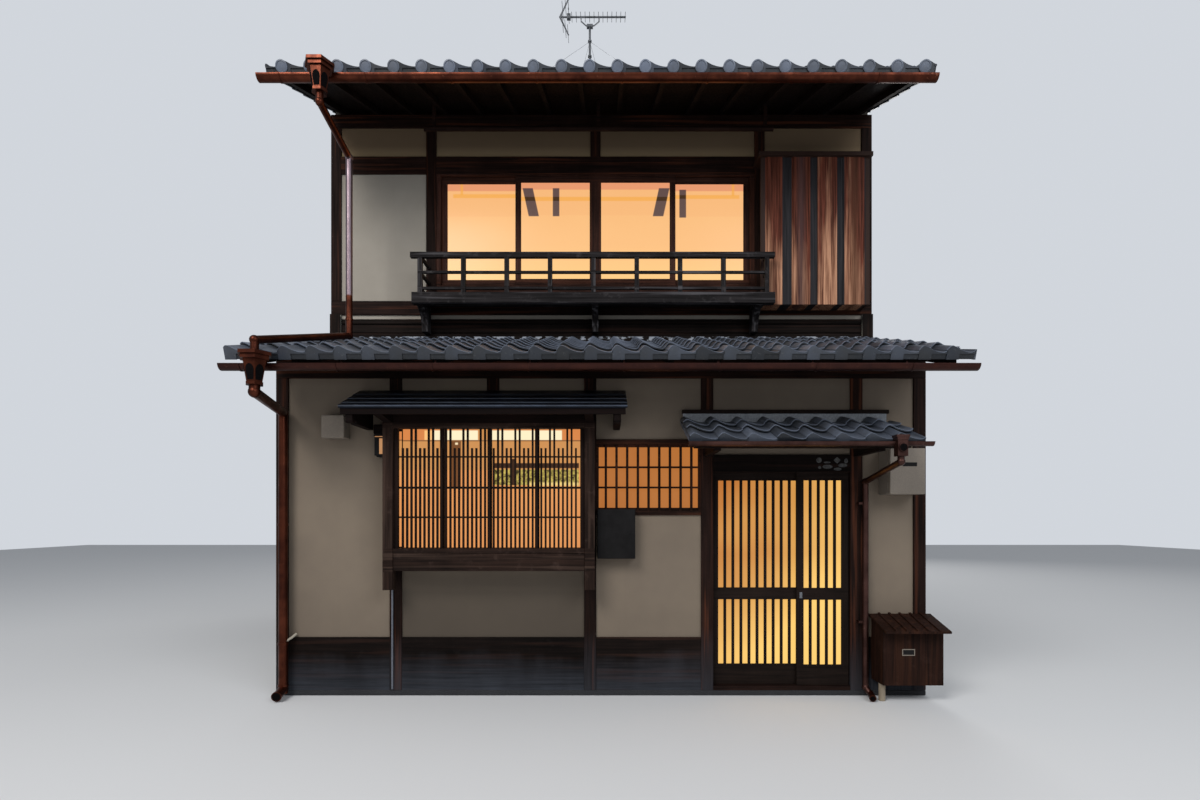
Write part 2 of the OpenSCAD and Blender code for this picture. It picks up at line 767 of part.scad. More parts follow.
hood_x0 = (ground_x[3] + ground_x[4]) / 2 + 20 - hood_w / 2;
hood_x1 = hood_x0 + hood_w;
hood_apron_h = 15;
function hood_deck_z(y) = hood_z - hood_tile_h - 10 + y * hood_slope;
module entrance_roof_frame() {
    color("saddlebrown") union() {
        // Boards
        run_x(hood_x0 + skirt_t + 2, hood_x1 - skirt_t - 2) polygon([
            [0, hood_deck_z(0)], [0, hood_deck_z(0) - deck_t],
            [-hood_out + 30, hood_deck_z(-hood_out + 30) - deck_t],
            [-hood_out + 30, hood_deck_z(-hood_out + 30)]
        ]);
        // Beam along the eave
        block([hood_x0 + 60, -hood_out + 120, hood_deck_z(-hood_out + 120) - deck_t - 70],
            [hood_x1 - 60, -hood_out + 180, hood_deck_z(-hood_out + 120) - 4]);
        // Curved arms from the posts
        arm_y = -hood_out + 130;
        arm_z = hood_deck_z(0) - hood_arm_h;
        arm_top_z = hood_deck_z(arm_y) - 4;
        arm_w = 60;
        arm_r = arm_top_z - arm_z - 110;
        for (i = [3, 4])
            run_x(ground_x[i] - arm_w / 2, ground_x[i] + arm_w / 2) difference() {
                polygon([[0, hood_deck_z(0) - 4], [0, arm_z], [arm_y, arm_z], [arm_y, arm_top_z]]);
                translate([arm_y, arm_z + 20]) circle(r = arm_r, $fn = 48);
                polygon([[arm_y - 1, arm_z - 1], [arm_y - 1, arm_z + 21],
                    [arm_y + arm_r, arm_z + 21], [arm_y + arm_r, arm_z - 1]]);
            }
        // Strip along the wall over the tiles, and the mortar packed under it
        block([hood_x0 + 20, -38, hood_z + 7], [hood_x1 - 10, 0, hood_z + 42]);
        run_x(hood_x0 + 30, hood_x1 - 30) polygon([
            [0, hood_deck_z(0) - 4], [0, hood_z + 8], [-26, hood_z + 8], [-26, hood_deck_z(-26) - 4]
        ]);
        for (i = [3, 4])
            block([ground_x[i] - arm_w / 2, -24, hood_deck_z(0) - 60],
                [ground_x[i] + arm_w / 2, 0, hood_z + 8]);
    }
}

// Pantiles of one roof, run up the slope: each has a round roll with a steep left side and a
// long hollow fall to the right. The eave tiles hang down in front of the boards and the verge
// tiles hang down at both ends. Drawn with the eave at y = 0 and the boards at z = 0. The phase
// is where the first crest lies, as a part of a tile. A disc radius above 0 gives each roll a
// round end at the eave.
apron_t = 20;
skirt_t = 0.8 * verge;
disc_out = 14;
wave = [
    [0, 1], [0.08, 0.93], [0.17, 0.78], [0.25, 0.6], [0.33, 0.43], [0.42, 0.29], [0.5, 0.18],
    [0.58, 0.09], [0.67, 0.03], [0.75, 0], [0.84, 0.12], [0.92, 0.6], [1, 1]
];
module tile_sheet(width, length, pitch, depth, hang, phase, disc_r = 0) {
    n = round(width / pitch);
    step = width / n;
    bed = depth - roll_h;
    function top_z(u) = bed + lookup(u - floor(u), wave) * roll_h;
    top = [
        for (i = [-1:n]) for (k = [0:11])
            let (u = i + phase + wave[k][0])
            if (u > 0.01 && u < n - 0.01) [u * step, bed + wave[k][1] * roll_h]
    ];
    union() {
        rotate([90, 0, 180]) mirror([1, 0, 0]) linear_extrude(height = length)
            polygon(concat([[0, 0], [0, top_z(-phase)]], top, [[width, top_z(-phase)], [width, 0]]));
        block([0, 0, -hang], [width, apron_t, bed]);
        for (x = [0, width - skirt_t]) block([x, 0, -hang], [x + skirt_t, length, bed]);
        if (disc_r > 0)
            for (i = [0:n - 1])
                translate([(i + phase) * step, -disc_out, depth - disc_r]) rotate([-90, 0, 0])
                    cylinder(r = disc_r, h = disc_out + apron_t, $fn = 32);
    }
}

// Places what is drawn flat on a slope that starts at a given eave point
module on_slope(x, y, z, slope) {
    translate([x, y, z]) rotate([atan(slope), 0, 0]) children();
}

module entrance_roof_tiles() {
    slope_len = hood_out / cos(atan(hood_slope)) - 30;
    color("slategray")
        on_slope(hood_x0, -hood_out, hood_deck_z(-hood_out), hood_slope)
            tile_sheet(hood_w, slope_len, hood_tile_w, hood_tile_h, hood_apron_h, 0.11);
}

// A half-round gutter along X, closed at both ends
module half_gutter(x0, x1, y, z, r) {
    difference() {
        run_x(x0, x1) difference() {
            translate([y, z]) circle(r = r, $fn = 32);
            translate([y - 2 * r, z]) square([4 * r, 2 * r]);
        }
        run_x(x0 + copper_t, x1 - copper_t) translate([y, z]) circle(r = r - copper_t, $fn = 32);
    }
}

hood_pipe_x = right_of(ground_x[4]) + 6;
module entrance_gutter() {
    gy = -hood_out - hood_gutter_r;
    gz = hood_deck_z(-hood_out) - hood_apron_h;
    px = hood_pipe_x;
    py = -small_pipe_r - 20;
    head_y = gy - 32;
    foot_z = gz - 125;
    color("chocolate") union() {
        half_gutter(hood_x0 - 15, hood_x1 + 45, gy, gz, hood_gutter_r);
        // Rain head in front of the gutter: two cap plates, body, plain round badge
        block([px - 55, head_y - 45, gz + 32], [px + 55, head_y + 45, gz + 52]);
        block([px - 48, head_y - 42, gz + 10], [px + 48, head_y + 42, gz + 33]);
        block([px - 42, head_y - 38, foot_z], [px + 42, head_y + 38, gz + 11]);
        translate([px, head_y - 37, gz - 55]) rotate([90, 0, 0]) cylinder(r = 36, h = 12, $fn = 24);
        pipe_run([
            [px, head_y, foot_z + 5], [px, head_y, foot_z - 45], [px, py, gz - 300], [px, py, 95],
            [px + 25, py - 60, 42]
        ], small_pipe_r);
        // Clamps on the post beside the pipe
        for (z = [0.3, 0.78] * gz)
            block([ground_x[4], py - 6, z], [px, py + 6, z + 20]);
        for (z = [0.3, 0.78] * gz)
            block([ground_x[4], py, z], [ground_x[4] + 12, 0, z + 20]);
    }
}

// Roofs

rafter_n = floor((2 * inner_x - rafter_w) / rafter_pitch);
rafter_step = (2 * inner_x - rafter_w) / rafter_n;

module lower_roof_frame() {
    y0 = -lower_eave + 40;
    z0 = lower_rafter_z(y0);
    z1 = lower_rafter_z(upper_y);
    color("saddlebrown") union() {
        run_x(-half_w, half_w) polygon([
            [y0, z0 + rafter_h], [upper_y, z1 + rafter_h],
            [upper_y, z1 + rafter_h + deck_t], [y0, z0 + rafter_h + deck_t]
        ]);
        for (i = [0:rafter_n])
            run_x(-inner_x + i * rafter_step, -inner_x + i * rafter_step + rafter_w) polygon([
                [y0 + 10, lower_rafter_z(y0 + 10)], [upper_y, z1],
                [upper_y, z1 + rafter_h + 1], [y0 + 10, lower_rafter_z(y0 + 10) + rafter_h + 1]
            ]);
    }
}

module lower_roof_tiles() {
    y0 = -lower_eave;
    slope_len = (upper_y + lower_eave) / cos(atan(lower_slope)) - tile_h * lower_slope;
    color("slategray")
        on_slope(-half_w - verge, y0, lower_rafter_z(y0) + rafter_h + deck_t + seat_gap,
            lower_slope)
            tile_sheet(house_w + 2 * verge, slope_len, lower_tile_w, tile_h, apron_h, 0.07);
}

main_eave_y = upper_y - main_eave;
back_eave_y = house_d + back_eave;
module main_roof_frame() {
    function under(y) = main_rafter_z(y);
    f0 = main_eave_y + 40;
    b0 = back_eave_y - 40;
    color("saddlebrown") union() {
        run_x(-half_w, half_w) polygon([
            [f0, under(f0) + rafter_h], [ridge_y, ridge_under_z + rafter_h], [b0, under(b0) + rafter_h],
            [b0, under(b0) + rafter_h + deck_t], [ridge_y, ridge_under_z + rafter_h + deck_t],
            [f0, under(f0) + rafter_h + deck_t]
        ]);
        for (i = [0:rafter_n])
            run_x(-inner_x + i * rafter_step, -inner_x + i * rafter_step + rafter_w) polygon([
                [f0 + 10, under(f0 + 10)], [ridge_y, ridge_under_z], [b0 - 10, under(b0 - 10)],
                [b0 - 10, under(b0 - 10) + rafter_h + 1], [ridge_y, ridge_under_z + rafter_h + 1],
                [f0 + 10, under(f0 + 10) + rafter_h + 1]
            ]);
    }
}

// One sheet of tiles on each slope, from the eave to just short of the ridge
module main_tile_slope(eave_run) {
    slope_len = eave_run / cos(atan(main_slope)) - tile_h * main_slope - 5;
    eave_z = ridge_under_z - eave_run * main_slope + rafter_h + deck_t;
    on_slope(-half_w - verge, -eave_run, eave_z, main_slope)
        tile_sheet(house_w + 2 * verge, slope_len, main_tile_w, tile_h, apron_h, 0.59, disc_r);
}

module main_roof_tiles() {
    color("slategray") translate([0, ridge_y, 0]) {
        main_tile_slope(ridge_y - main_eave_y);
        rotate([0, 0, 180]) main_tile_slope(back_eave_y - ridge_y);
    }
}

ridge_low_z = ridge_under_z + rafter_h + deck_t + tile_h / cos(atan(main_slope));
ridge_cap_r = 65;
ridge_courses = 4;
module main_ridge() {
    seat_y = ridge_w / 2;
    low = ridge_low_z;
    side = low - seat_y * main_slope;
    end_x = half_w + verge + 10;
    course_h = (ridge_h - 60 - 10) / ridge_courses;
    color("slategray") union() {
        // Bedding that fills the peak of both slopes
        run_x(-end_x, end_x) polygon([
            [ridge_y - seat_y, side], [ridge_y, low + 1], [ridge_y + seat_y, side],
            [ridge_y + seat_y, low + 10], [ridge_y - seat_y, low + 10]
        ]);
        // Flat courses, each a little narrower than the one under it
        for (i = [0:ridge_courses - 1])
            run_x(-end_x, end_x) translate([ridge_y, low + 10 + i * course_h]) polygon([
                [-seat_y * 0.95 + i * 8, -1], [seat_y * 0.95 - i * 8, -1],
                [seat_y * 0.86 - i * 8, course_h], [-seat_y * 0.86 + i * 8, course_h]
            ]);
        run_x(-end_x, end_x) translate([ridge_y, low + ridge_h - ridge_cap_r])
            circle(r = ridge_cap_r, $fn = 24);
        // Plain end tiles
        for (x = [-end_x - 28, end_x - 2])
            run_x(x, x + 30) translate([ridge_y, 0]) polygon([
                [-seat_y - 15, side + 20], [-seat_y - 15, low + 60], [-ridge_cap_r, low + ridge_h + 20],
                [ridge_cap_r, low + ridge_h + 20], [seat_y + 15, low + 60], [seat_y + 15, side + 20]
            ]);
    }
}

lower_gutter_y = -lower_eave - gutter_r + 20;
lower_gutter_z = lower_rafter_z(-lower_eave) + rafter_h + deck_t - gutter_drop;
main_gutter_y = main_eave_y - gutter_r + 20;
main_gutter_z = main_rafter_z(main_eave_y) + rafter_h + deck_t - gutter_drop;
back_gutter_y = back_eave_y + gutter_r - 20;
back_gutter_z = main_rafter_z(back_eave_y) + rafter_h + deck_t - gutter_drop;

// A hook under the gutter, with a strap on the end face of a rafter. Inward is 1 or -1.
rafter_inset = 50;
strap_t = 6;
module gutter_hook(x, y, z, inward) {
    reach = gutter_r - 20 + rafter_inset;
    run_x(x - 8, x + 8) union() {
        difference() {
            translate([y, z]) circle(r = gutter_r + 5, $fn = 32);
            translate([y, z]) circle(r = gutter_r, $fn = 32);
            translate([y - 3 * gutter_r, z - 2]) square([6 * gutter_r, 2 * gutter_r]);
        }
        translate([min(y + inward * gutter_r, y + inward * reach), z - 10]) square([reach - gutter_r, 8]);
        translate([y + inward * (reach - strap_t / 2) - strap_t / 2, z - 10])
            square([strap_t, gutter_drop - 24]);
    }
}

// A gutter with a hook at every second rafter
module hung_gutter(x0, x1, y, z, inward) {
    union() {
        half_gutter(x0, x1, y, z, gutter_r);
        for (i = [0:2:rafter_n])
            gutter_hook(-inner_x + i * rafter_step + rafter_w / 2, y, z, inward);
    }
}

module eave_gutters() {
    color("sienna") {
        hung_gutter(-half_w - 30, half_w + 10, lower_gutter_y, lower_gutter_z, 1);
        hung_gutter(-half_w - 70, half_w + 10, main_gutter_y, main_gutter_z, 1);
        hung_gutter(-half_w - 30, half_w + 10, back_gutter_y, back_gutter_z, -1);
    }
}

// A six-sided box that gathers the water: a wide cap, and a body that narrows downward.
// Its back is cut flat and touches the rim of its gutter.
head_cap_r = 136;
head_cap_h = 62;
head_body_h = 180;
head_top_r = 97;
head_foot_r = 63;
head_back = 75;
// From the top of a head to its foot
head_h = head_cap_h + head_body_h;
module rain_head(x, y, z) {
    body_z = z - head_h;
    difference() {
        union() {
            translate([x, y, z - 28]) cylinder(r = head_cap_r, h = 28, $fn = 6);
            translate([x, y, z - head_cap_h]) cylinder(r = head_cap_r - 18, h = head_cap_h - 27, $fn = 6);
            translate([x, y, body_z])
                cylinder(r1 = head_foot_r, r2 = head_top_r, h = head_body_h + 1, $fn = 6);
            translate([x, y, body_z - 22]) cylinder(r = head_foot_r + 8, h = 23, $fn = 6);
        }
        block([x - 2 * head_cap_r, y + head_back, body_z - 30],
            [x + 2 * head_cap_r, y + 2 * head_cap_r, z + 10]);
    }
}

// A bend between two pipes, as a ball a little wider than the pipe
module bend(p, r) {
    translate(p) sphere(r = r + 6, $fn = 32);
}

module pipe_run(points, r) {
    for (i = [0:len(points) - 2]) pipe_between(points[i], points[i + 1], r);
    for (i = [1:len(points) - 2]) bend(points[i], r);
}

lower_head_x = -half_w + lower_head_in;
lower_head_y = lower_gutter_y - gutter_r - head_back;
lower_head_z = lower_gutter_z + 65;
module lower_downpipe() {
    px = -half_w + 105;
    py = -pipe_r - 25;
    color("sienna") union() {
        rain_head(lower_head_x, lower_head_y, lower_head_z);
        pipe_run([
            [lower_head_x, lower_head_y, lower_head_z - head_h + 5],
            [lower_head_x, lower_head_y, lower_head_z - head_h - 76],
            [px, py, lower_head_z - head_h - 102],
            [px, py, 40]
        ], pipe_r);
        // Clamps
        for (z = [0.035, 0.165, 0.535] * ground_head_z) {
            block([px - 12, py, z], [px + 12, 0, z + 22]);
            translate([px, py, z]) cylinder(r = pipe_r + 5, h = 22, $fn = 24);
        }
    }
}

// The upper pipe drops from the main gutter to the lower roof and runs over its tiles
// into the lower rain head
module upper_downpipe() {
    hx = lower_head_x + 237;
    hy = main_gutter_y - gutter_r - head_back;
    hz = main_gutter_z + 22;
    py = 350;
    over = rafter_h + deck_t + (tile_h + upper_pipe_r + 6) / cos(atan(lower_slope)) + 0.3;
    color("sienna") union() {
        rain_head(hx, hy, hz);
        pipe_run([
            [hx, hy, hz - head_h + 5],
            [hx, hy, hz - head_h - 103],
            [hx, py, hz - head_h - 232],
            [hx, py, lower_rafter_z(py) + over],
            [lower_head_x, lower_head_y, lower_head_z + 102],
            [lower_head_x, lower_head_y, lower_head_z]
        ], upper_pipe_r);
        translate([hx, py, lower_rafter_z(py) + over + 150])
            cylinder(r = upper_pipe_r + 6, h = 22, $fn = 24);
    }
}

// Upper window

win_x0 = right_of(upper_x[1]);
win_x1 = left_of(upper_x[2]);
frame_jamb = 50;
frame_sill = 60;
win_z0 = upper_post_z + window_up;
one_sash_w = (win_x1 - win_x0 - 2 * frame_jamb + 2 * sash_w) / 4;
pane_z = win_z0 + frame_sill + 80;
sash_bottom_z = win_z0 + frame_sill;
sash_top_z = pane_z + pane_h + 70;
// The two outer sashes run in the back track and the two inner ones in the front track
function sash_x(i) = win_x0 + frame_jamb + (i < 2 ? i * (one_sash_w - sash_w)
    : 2 * one_sash_w - sash_w + (i - 2) * (one_sash_w - sash_w));
function sash_y(i) = upper_y + 20 + (i == 1 || i == 2 ? 0 : sash_t + 4);

module upper_window_frame() {
    color("saddlebrown") difference() {
        block([win_x0, upper_y + 6, upper_post_z], [win_x1, upper_y + post_w, head_beam_z]);
        block([win_x0 + frame_jamb, upper_y, sash_bottom_z],
            [win_x1 - frame_jamb, upper_y + 2 * post_w, sash_top_z]);
    }
}

module upper_window_sashes() {
    color("saddlebrown") for (i = [0:3]) difference() {
        block([sash_x(i), sash_y(i), sash_bottom_z],
            [sash_x(i) + one_sash_w, sash_y(i) + sash_t, sash_top_z]);
        block([sash_x(i) + sash_w, upper_y, pane_z], [sash_x(i) + one_sash_w - sash_w, upper_y + post_w,
            pane_z + pane_h]);
    }
}

case_x0 = upper_x[2] - 46;
case_x1 = upper_x[3] - 66;
case_front_y = upper_y - case_out + 12;
module shutter_case() {
    z1 = head_beam_z + case_up;
    z0 = z1 - case_h;
    wide = case_x1 - case_x0;
    color("brown") union() {
        // Front, far end, top and bottom; the end towards the window is open for the shutters
        block([case_x1 - 24, case_front_y, z0], [case_x1, upper_y, z1]);
        block([case_x0, case_front_y, z0 + 10], [case_x1, upper_y, z0 + 34]);
        block([case_x0 - 28, case_front_y - 40, z1 - 1], [case_x1 + 24, upper_y, z1 + 44]);
        block([case_x0, case_front_y, z0], [case_x1, case_front_y + 20, z1]);
        // Four raised boards, as parts of the width
        for (b = [[0.06, 0.21], [0.295, 0.455], [0.52, 0.695], [0.755, 0.935]])
            block([case_x0 + b[0] * wide, case_front_y - 12, z0 - 4],
                [case_x0 + b[1] * wide, case_front_y + 1, z1]);
    }
}

// Balcony

bal_y = upper_y - balcony_out;
bal_z0 = base_top_z + balcony_up;
bal_z1 = bal_z0 + balcony_beam_h;
bal_x0 = upper_x[1] - 110;
bal_x1 = upper_x[2] + 76;
bracket_h = 235;
module balcony() {
    front = bal_y + 50;
    color("saddlebrown") union() {
        block([bal_x0, bal_y, bal_z0], [bal_x1, bal_y + 90, bal_z1]);
        block([bal_x0 + 40, bal_y + 80, bal_z1 - 40], [case_x0 - 2, upper_y, bal_z1 - 12]);
        // Curved brackets down to the wall
        for (x = [upper_x[1] - 72, (upper_x[1] + upper_x[2]) / 2 - 35, case_x0 - 72])
            run_x(x, x + 70) difference() {
                polygon([[upper_y, bal_z1 - 30], [upper_y, bal_z0 - bracket_h], [front, bal_z0 - bracket_h],
                    [front, bal_z1 - 30]]);
                translate([front, bal_z0 - bracket_h]) scale([(upper_y - front - 100) / bracket_h, 1])
                    circle(r = bracket_h - 12, $fn = 48);
            }
    }
}

mid_rail_ups = [40, 214];
module balcony_rail() {
    x0 = bal_x0 + 60;
    n = round((bal_x1 - bal_x0 - 120) / baluster_pitch);
    step = (bal_x1 - bal_x0 - 120 - baluster_w) / n;
    color("saddlebrown") union() {
        for (i = [0:n])
            block([x0 + i * step, bal_y + 20, bal_z1], [x0 + i * step + baluster_w, bal_y + 20 + baluster_w,
                bal_z1 + rail_up]);
        block([bal_x0 - 20, bal_y + 14, bal_z1 + rail_up - 20], [bal_x1, bal_y + 66, bal_z1 + rail_up + 38]);
        for (up = mid_rail_ups)
            block([bal_x0 + 60, bal_y + 30, bal_z1 + up], [bal_x1 - 60, bal_y + 58, bal_z1 + up + 28]);
        // Returns at both ends: to the wall on the left, to the shutter case on the right
        for (end = [[x0, upper_y], [bal_x1 - 60 - baluster_w, case_front_y]])
            for (up = concat(mid_rail_ups, [rail_up - 10]))
                block([end[0] + 8, bal_y + 40, bal_z1 + up],
                    [end[0] + baluster_w - 8, end[1], bal_z1 + up + 28]);
    }
}

// The hangers end under a rafter, or under the roof boards where no rafter is in the way
hanger_w = 36;
module screen_rail() {
    y = upper_y - screen_out;
    z = head_beam_z + 292;
    mid_x = (upper_x[1] + upper_x[2]) / 2;
    color("saddlebrown") union() {
        run_x(upper_x[1] + 25, upper_x[2] + 57) translate([y, z]) circle(r = 26, $fn = 24);
        for (x = [upper_x[1] + 133, mid_x + 36, upper_x[2] - 30]) {
            away = (x + inner_x - rafter_w / 2) / rafter_step;
            clear = abs(away - round(away)) * rafter_step > (rafter_w + hanger_w) / 2;
            up = clear ? rafter_h : 0;
            run_x(x - hanger_w / 2, x + hanger_w / 2) polygon([
                [y - 14, z], [y + 14, z],
                [y + 14, main_rafter_z(y + 14) + up], [y - 14, main_rafter_z(y - 14) + up]
            ]);
        }
    }
}

// Fittings

// A plain box with a door on its whole face and a round lock
module mailbox() {
    x0 = high_x0 + 12;
    x1 = x0 + mailbox_w;
    z1 = mailbox_z + mailbox_h;
    front = high_face_y - mailbox_out;
    door_t = 14;
    seam = 4;
    color("black") union() {
        block([x0, front + door_t + seam, mailbox_z], [x1, high_face_y, z1]);
        block([x0 + 12, front + door_t - 1, mailbox_z + 12], [x1 - 12, front + door_t + seam + 1, z1 - 12]);
        block([x0 + seam, front, mailbox_z + seam], [x1 - seam, front + door_t, z1 - seam]);
        translate([x1 - 46, front + 1, mailbox_z + 0.52 * mailbox_h]) rotate([90, 0, 0])
            cylinder(r = 11, h = 9, $fn = 24);
    }
}

module service_boxes() {
    breaker_x1 = left_of(ground_x[5]);
    pull_x = (ground_x[0] + ground_x[1]) / 2 - pull_box_w / 2 - 5;
    color("whitesmoke") {
        union() {
            block([breaker_x1 - breaker_w, -breaker_out + 45, breaker_z],
                [breaker_x1, plaster_back, breaker_z + breaker_h]);
            block([breaker_x1 - breaker_w, -breaker_out, breaker_z],
                [breaker_x1, -breaker_out + 38, breaker_z + breaker_h]);
            block([breaker_x1 - breaker_w + 6, -breaker_out + 37, breaker_z + 6],
                [breaker_x1 - 6, -breaker_out + 46, breaker_z + breaker_h - 6]);
        }
        block([pull_x, -pull_box_out, pull_box_z],
            [pull_x + pull_box_w, plaster_back, pull_box_z + pull_box_w]);
    }
}

// A boarded box on the wall beside the entrance pipe, with battens on its sloping lid, on one
// round leg
cabinet_x0 = hood_pipe_x + small_pipe_r + 49;
module meter_cabinet() {
    x1 = cabinet_x0 + cabinet_w;
    lid_t = 20;
    lid_over = 120;
    lid_fall = 0.28;
    batten_t = 12;
    battens = 5;
    front = -cabinet_d;
    function lid_z(y) = cabinet_lid_z + y * lid_fall;
    color("sienna") union() {
        run_x(cabinet_x0, x1) polygon([
            [0, cabinet_z], [0, lid_z(0) - lid_t + 1], [front, lid_z(front) - lid_t + 1], [front, cabinet_z]
        ]);
        run_x(cabinet_x0 - 28, x1 + 10) polygon([
            [0, lid_z(0)], [0, lid_z(0) - lid_t],
            [front - lid_over, lid_z(front - lid_over) - lid_t], [front - lid_over, lid_z(front - lid_over)]
        ]);
        // Battens down the lid
        for (i = [1:battens])
            translate([cabinet_x0 - 28 + i * (cabinet_w + 38) / (battens + 1), 0, 0])
                run_x(-10, 10) polygon([
                    [0, lid_z(0) - 1], [0, lid_z(0) + batten_t],
                    [front - lid_over, lid_z(front - lid_over) + batten_t],
                    [front - lid_over, lid_z(front - lid_over) - 1]
                ]);
        // Leg
        translate([cabinet_x0 + 32, front + 96, 0]) cylinder(r = 30, h = cabinet_z + 1, $fn = 24);
    }
}

// A lantern on a plate beside the bay
module wall_lamp() {
    x1 = bay_x0 - 14;
    x0 = x1 - 100;
    cap_z = lamp_z + lamp_h * 0.62;
    color("black") union() {
        block([x0 + 20, plaster_back - 14, lamp_z + 20], [x1 - 20, plaster_back, lamp_z + lamp_h]);
        block([x0, -110, lamp_z + 12], [x1, -10, cap_z]);
        block([x0 + 14, -96, lamp_z], [x1 - 14, -24, lamp_z + 13]);
        block([x0 - 6, -116, cap_z - 1], [x1 + 6, -4, cap_z + 14]);
        block([x0 + 38, -40, cap_z], [x1 - 38, plaster_back - 13, cap_z + 24]);
    }
}

// A mast on the ridge with a boom along the street, its short rods pointing to the street
module antenna() {
    mx = -half_w + mast_in;
    foot_z = ridge_low_z + ridge_h;
    bx0 = mx - boom_l * 0.46;
    boom_z = foot_z + mast_h + 130;
    rods = 13;
    rod_step = boom_l * 0.8 / (rods - 1);
    boom_t = 10;
    color("silver") union() {
        translate([mx, ridge_y, foot_z]) cylinder(r = 17, h = mast_h, $fn = 24);
        // Foot plate and the rings that hold the stays
        translate([mx, ridge_y, foot_z]) cylinder(r = 60, h = 14, $fn = 24);
        for (up = [0.3, 0.7, 0.84])
            translate([mx, ridge_y, foot_z + mast_h * up]) cylinder(r = 30, h = 26, $fn = 24);
        // Clamp on the mast and the bent strip that carries the boom
        block([mx - 50, ridge_y - 28, foot_z + mast_h - 45], [mx + 50, ridge_y + 28, foot_z + mast_h]);
        along_ridge(mx, boom_z, 18) polygon([
            [-146, 0], [-146, -72], [-64, -146], [74, -146], [161, -72], [161, 0],
            [149, 0], [149, -67], [69, -134], [-59, -134], [-134, -67], [-134, 0]
        ]);
        block([bx0, ridge_y - boom_t, boom_z - boom_t], [bx0 + boom_l, ridge_y + boom_t, boom_z + boom_t]);
        for (i = [0:rods - 1])
            cross_rod(bx0 + boom_l * 0.19 + i * rod_step, boom_z, 105);
        // Feed box and its longer rod
        block([bx0 + 125, ridge_y - 30, boom_z - 35], [bx0 + 185, ridge_y + 30, boom_z + 40]);
        cross_rod(bx0 + 155, boom_z + 22, 160);
        // Two-armed reflector with rods
        for (s = [-1, 1]) {
            tip = [boom_l * 0.14, s * boom_l * 0.27];
            along_ridge(bx0, boom_z, 16) polygon([[0, 0], [26, 0], tip + [10, 0], tip - [10, 0]]);
            for (k = [0.35, 0.65, 0.93])
                cross_rod(bx0 + 4 + tip[0] * k, boom_z + tip[1] * k, 190);
        }
    }
}
// Plate of a given thickness in the plane of the ridge
module along_ridge(x, z, t) {
    translate([x, ridge_y + t / 2, z]) rotate([90, 0, 0]) linear_extrude(height = t) children();
}
// Thin rod across the boom, reaching out on both sides
module cross_rod(x, z, reach) {
    translate([x, ridge_y - reach, z]) rotate([-90, 0, 0]) cylinder(r = 4, h = 2 * reach, $fn = 16);
}

foundation();
ground_floor();
upper_floor();
left_party_wall();
right_party_wall();
ground_posts();
upper_posts();
wall_beams();
lower_wall_panels();
wainscot();
upper_wall_panels();
back_wall_panels();
back_windows();
window_glass();
bay_frame();
bay_lattice();
bay_roof();
high_window();
door_frame();
left_door_leaf();
left_door_glass();
right_door_leaf();
right_door_glass();
entrance_roof_frame();
entrance_roof_tiles();
entrance_gutter();
lower_roof_frame();
lower_roof_tiles();
eave_gutters();
lower_downpipe();
upper_window_frame();
upper_window_sashes();
shutter_case();
balcony();
balcony_rail();
screen_rail();
main_roof_frame();
main_roof_tiles();
main_ridge();
upper_downpipe();
mailbox();
service_boxes();
meter_cabinet();
wall_lamp();
antenna();
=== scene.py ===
# %% [markdown]
# # A townhouse of timber, clay and tile
#
# The house is packed as solids already: posts, walls, roofs, gutters and two sliding doors.
# This lesson dresses those solids. Where a solid has the right shape it keeps its mesh and gets a
# better finish. Where the real thing is many small pieces, such as a tiled roof, the solid is
# replaced by those pieces, built in mesh code at the same place.

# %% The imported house
import math
import random

import bmesh
import bpy
import numpy as np
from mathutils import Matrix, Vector


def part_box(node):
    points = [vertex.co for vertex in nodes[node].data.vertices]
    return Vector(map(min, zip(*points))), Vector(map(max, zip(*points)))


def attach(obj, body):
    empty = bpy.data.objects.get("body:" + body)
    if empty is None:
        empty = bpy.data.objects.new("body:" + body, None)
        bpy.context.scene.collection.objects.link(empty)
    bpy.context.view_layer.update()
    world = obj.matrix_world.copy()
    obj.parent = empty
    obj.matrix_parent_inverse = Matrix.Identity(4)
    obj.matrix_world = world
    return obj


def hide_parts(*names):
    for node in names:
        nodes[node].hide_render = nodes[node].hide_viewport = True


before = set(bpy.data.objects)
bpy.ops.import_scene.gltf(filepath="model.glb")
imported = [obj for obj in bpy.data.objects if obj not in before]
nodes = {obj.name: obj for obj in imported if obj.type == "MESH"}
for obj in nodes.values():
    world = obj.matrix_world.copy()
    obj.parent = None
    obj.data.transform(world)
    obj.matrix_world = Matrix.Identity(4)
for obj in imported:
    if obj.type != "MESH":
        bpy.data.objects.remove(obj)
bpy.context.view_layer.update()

# %% [markdown]
# ## The camera comes first
#
# Every finish is judged from where the photographer stood, so the camera is made before any piece.
# It stands a little under six metres from the front, at eye height, and looks level along +Y. The
# picture shows more above the eye than below it. On a real camera that is a shifted lens, which
# keeps the posts upright, and Blender's camera has the same shift.

# %% Camera
EYE = Vector((0.029, -5.9, 1.725))
LENS_MM = 18.5
SENSOR_MM = 36.0

camera_data = bpy.data.cameras.new("street_camera")
camera_data.lens = LENS_MM
camera_data.sensor_width = SENSOR_MM
camera_data.shift_x = -0.0033
camera_data.shift_y = 0.096
camera_data.clip_end = 200
camera = bpy.data.objects.new("street_camera", camera_data)
camera.location = EYE
camera.rotation_euler = (math.radians(90), 0, 0)
bpy.context.scene.collection.objects.link(camera)
bpy.context.scene.camera = camera
print("camera", round(math.degrees(camera_data.angle), 1), "degrees wide")

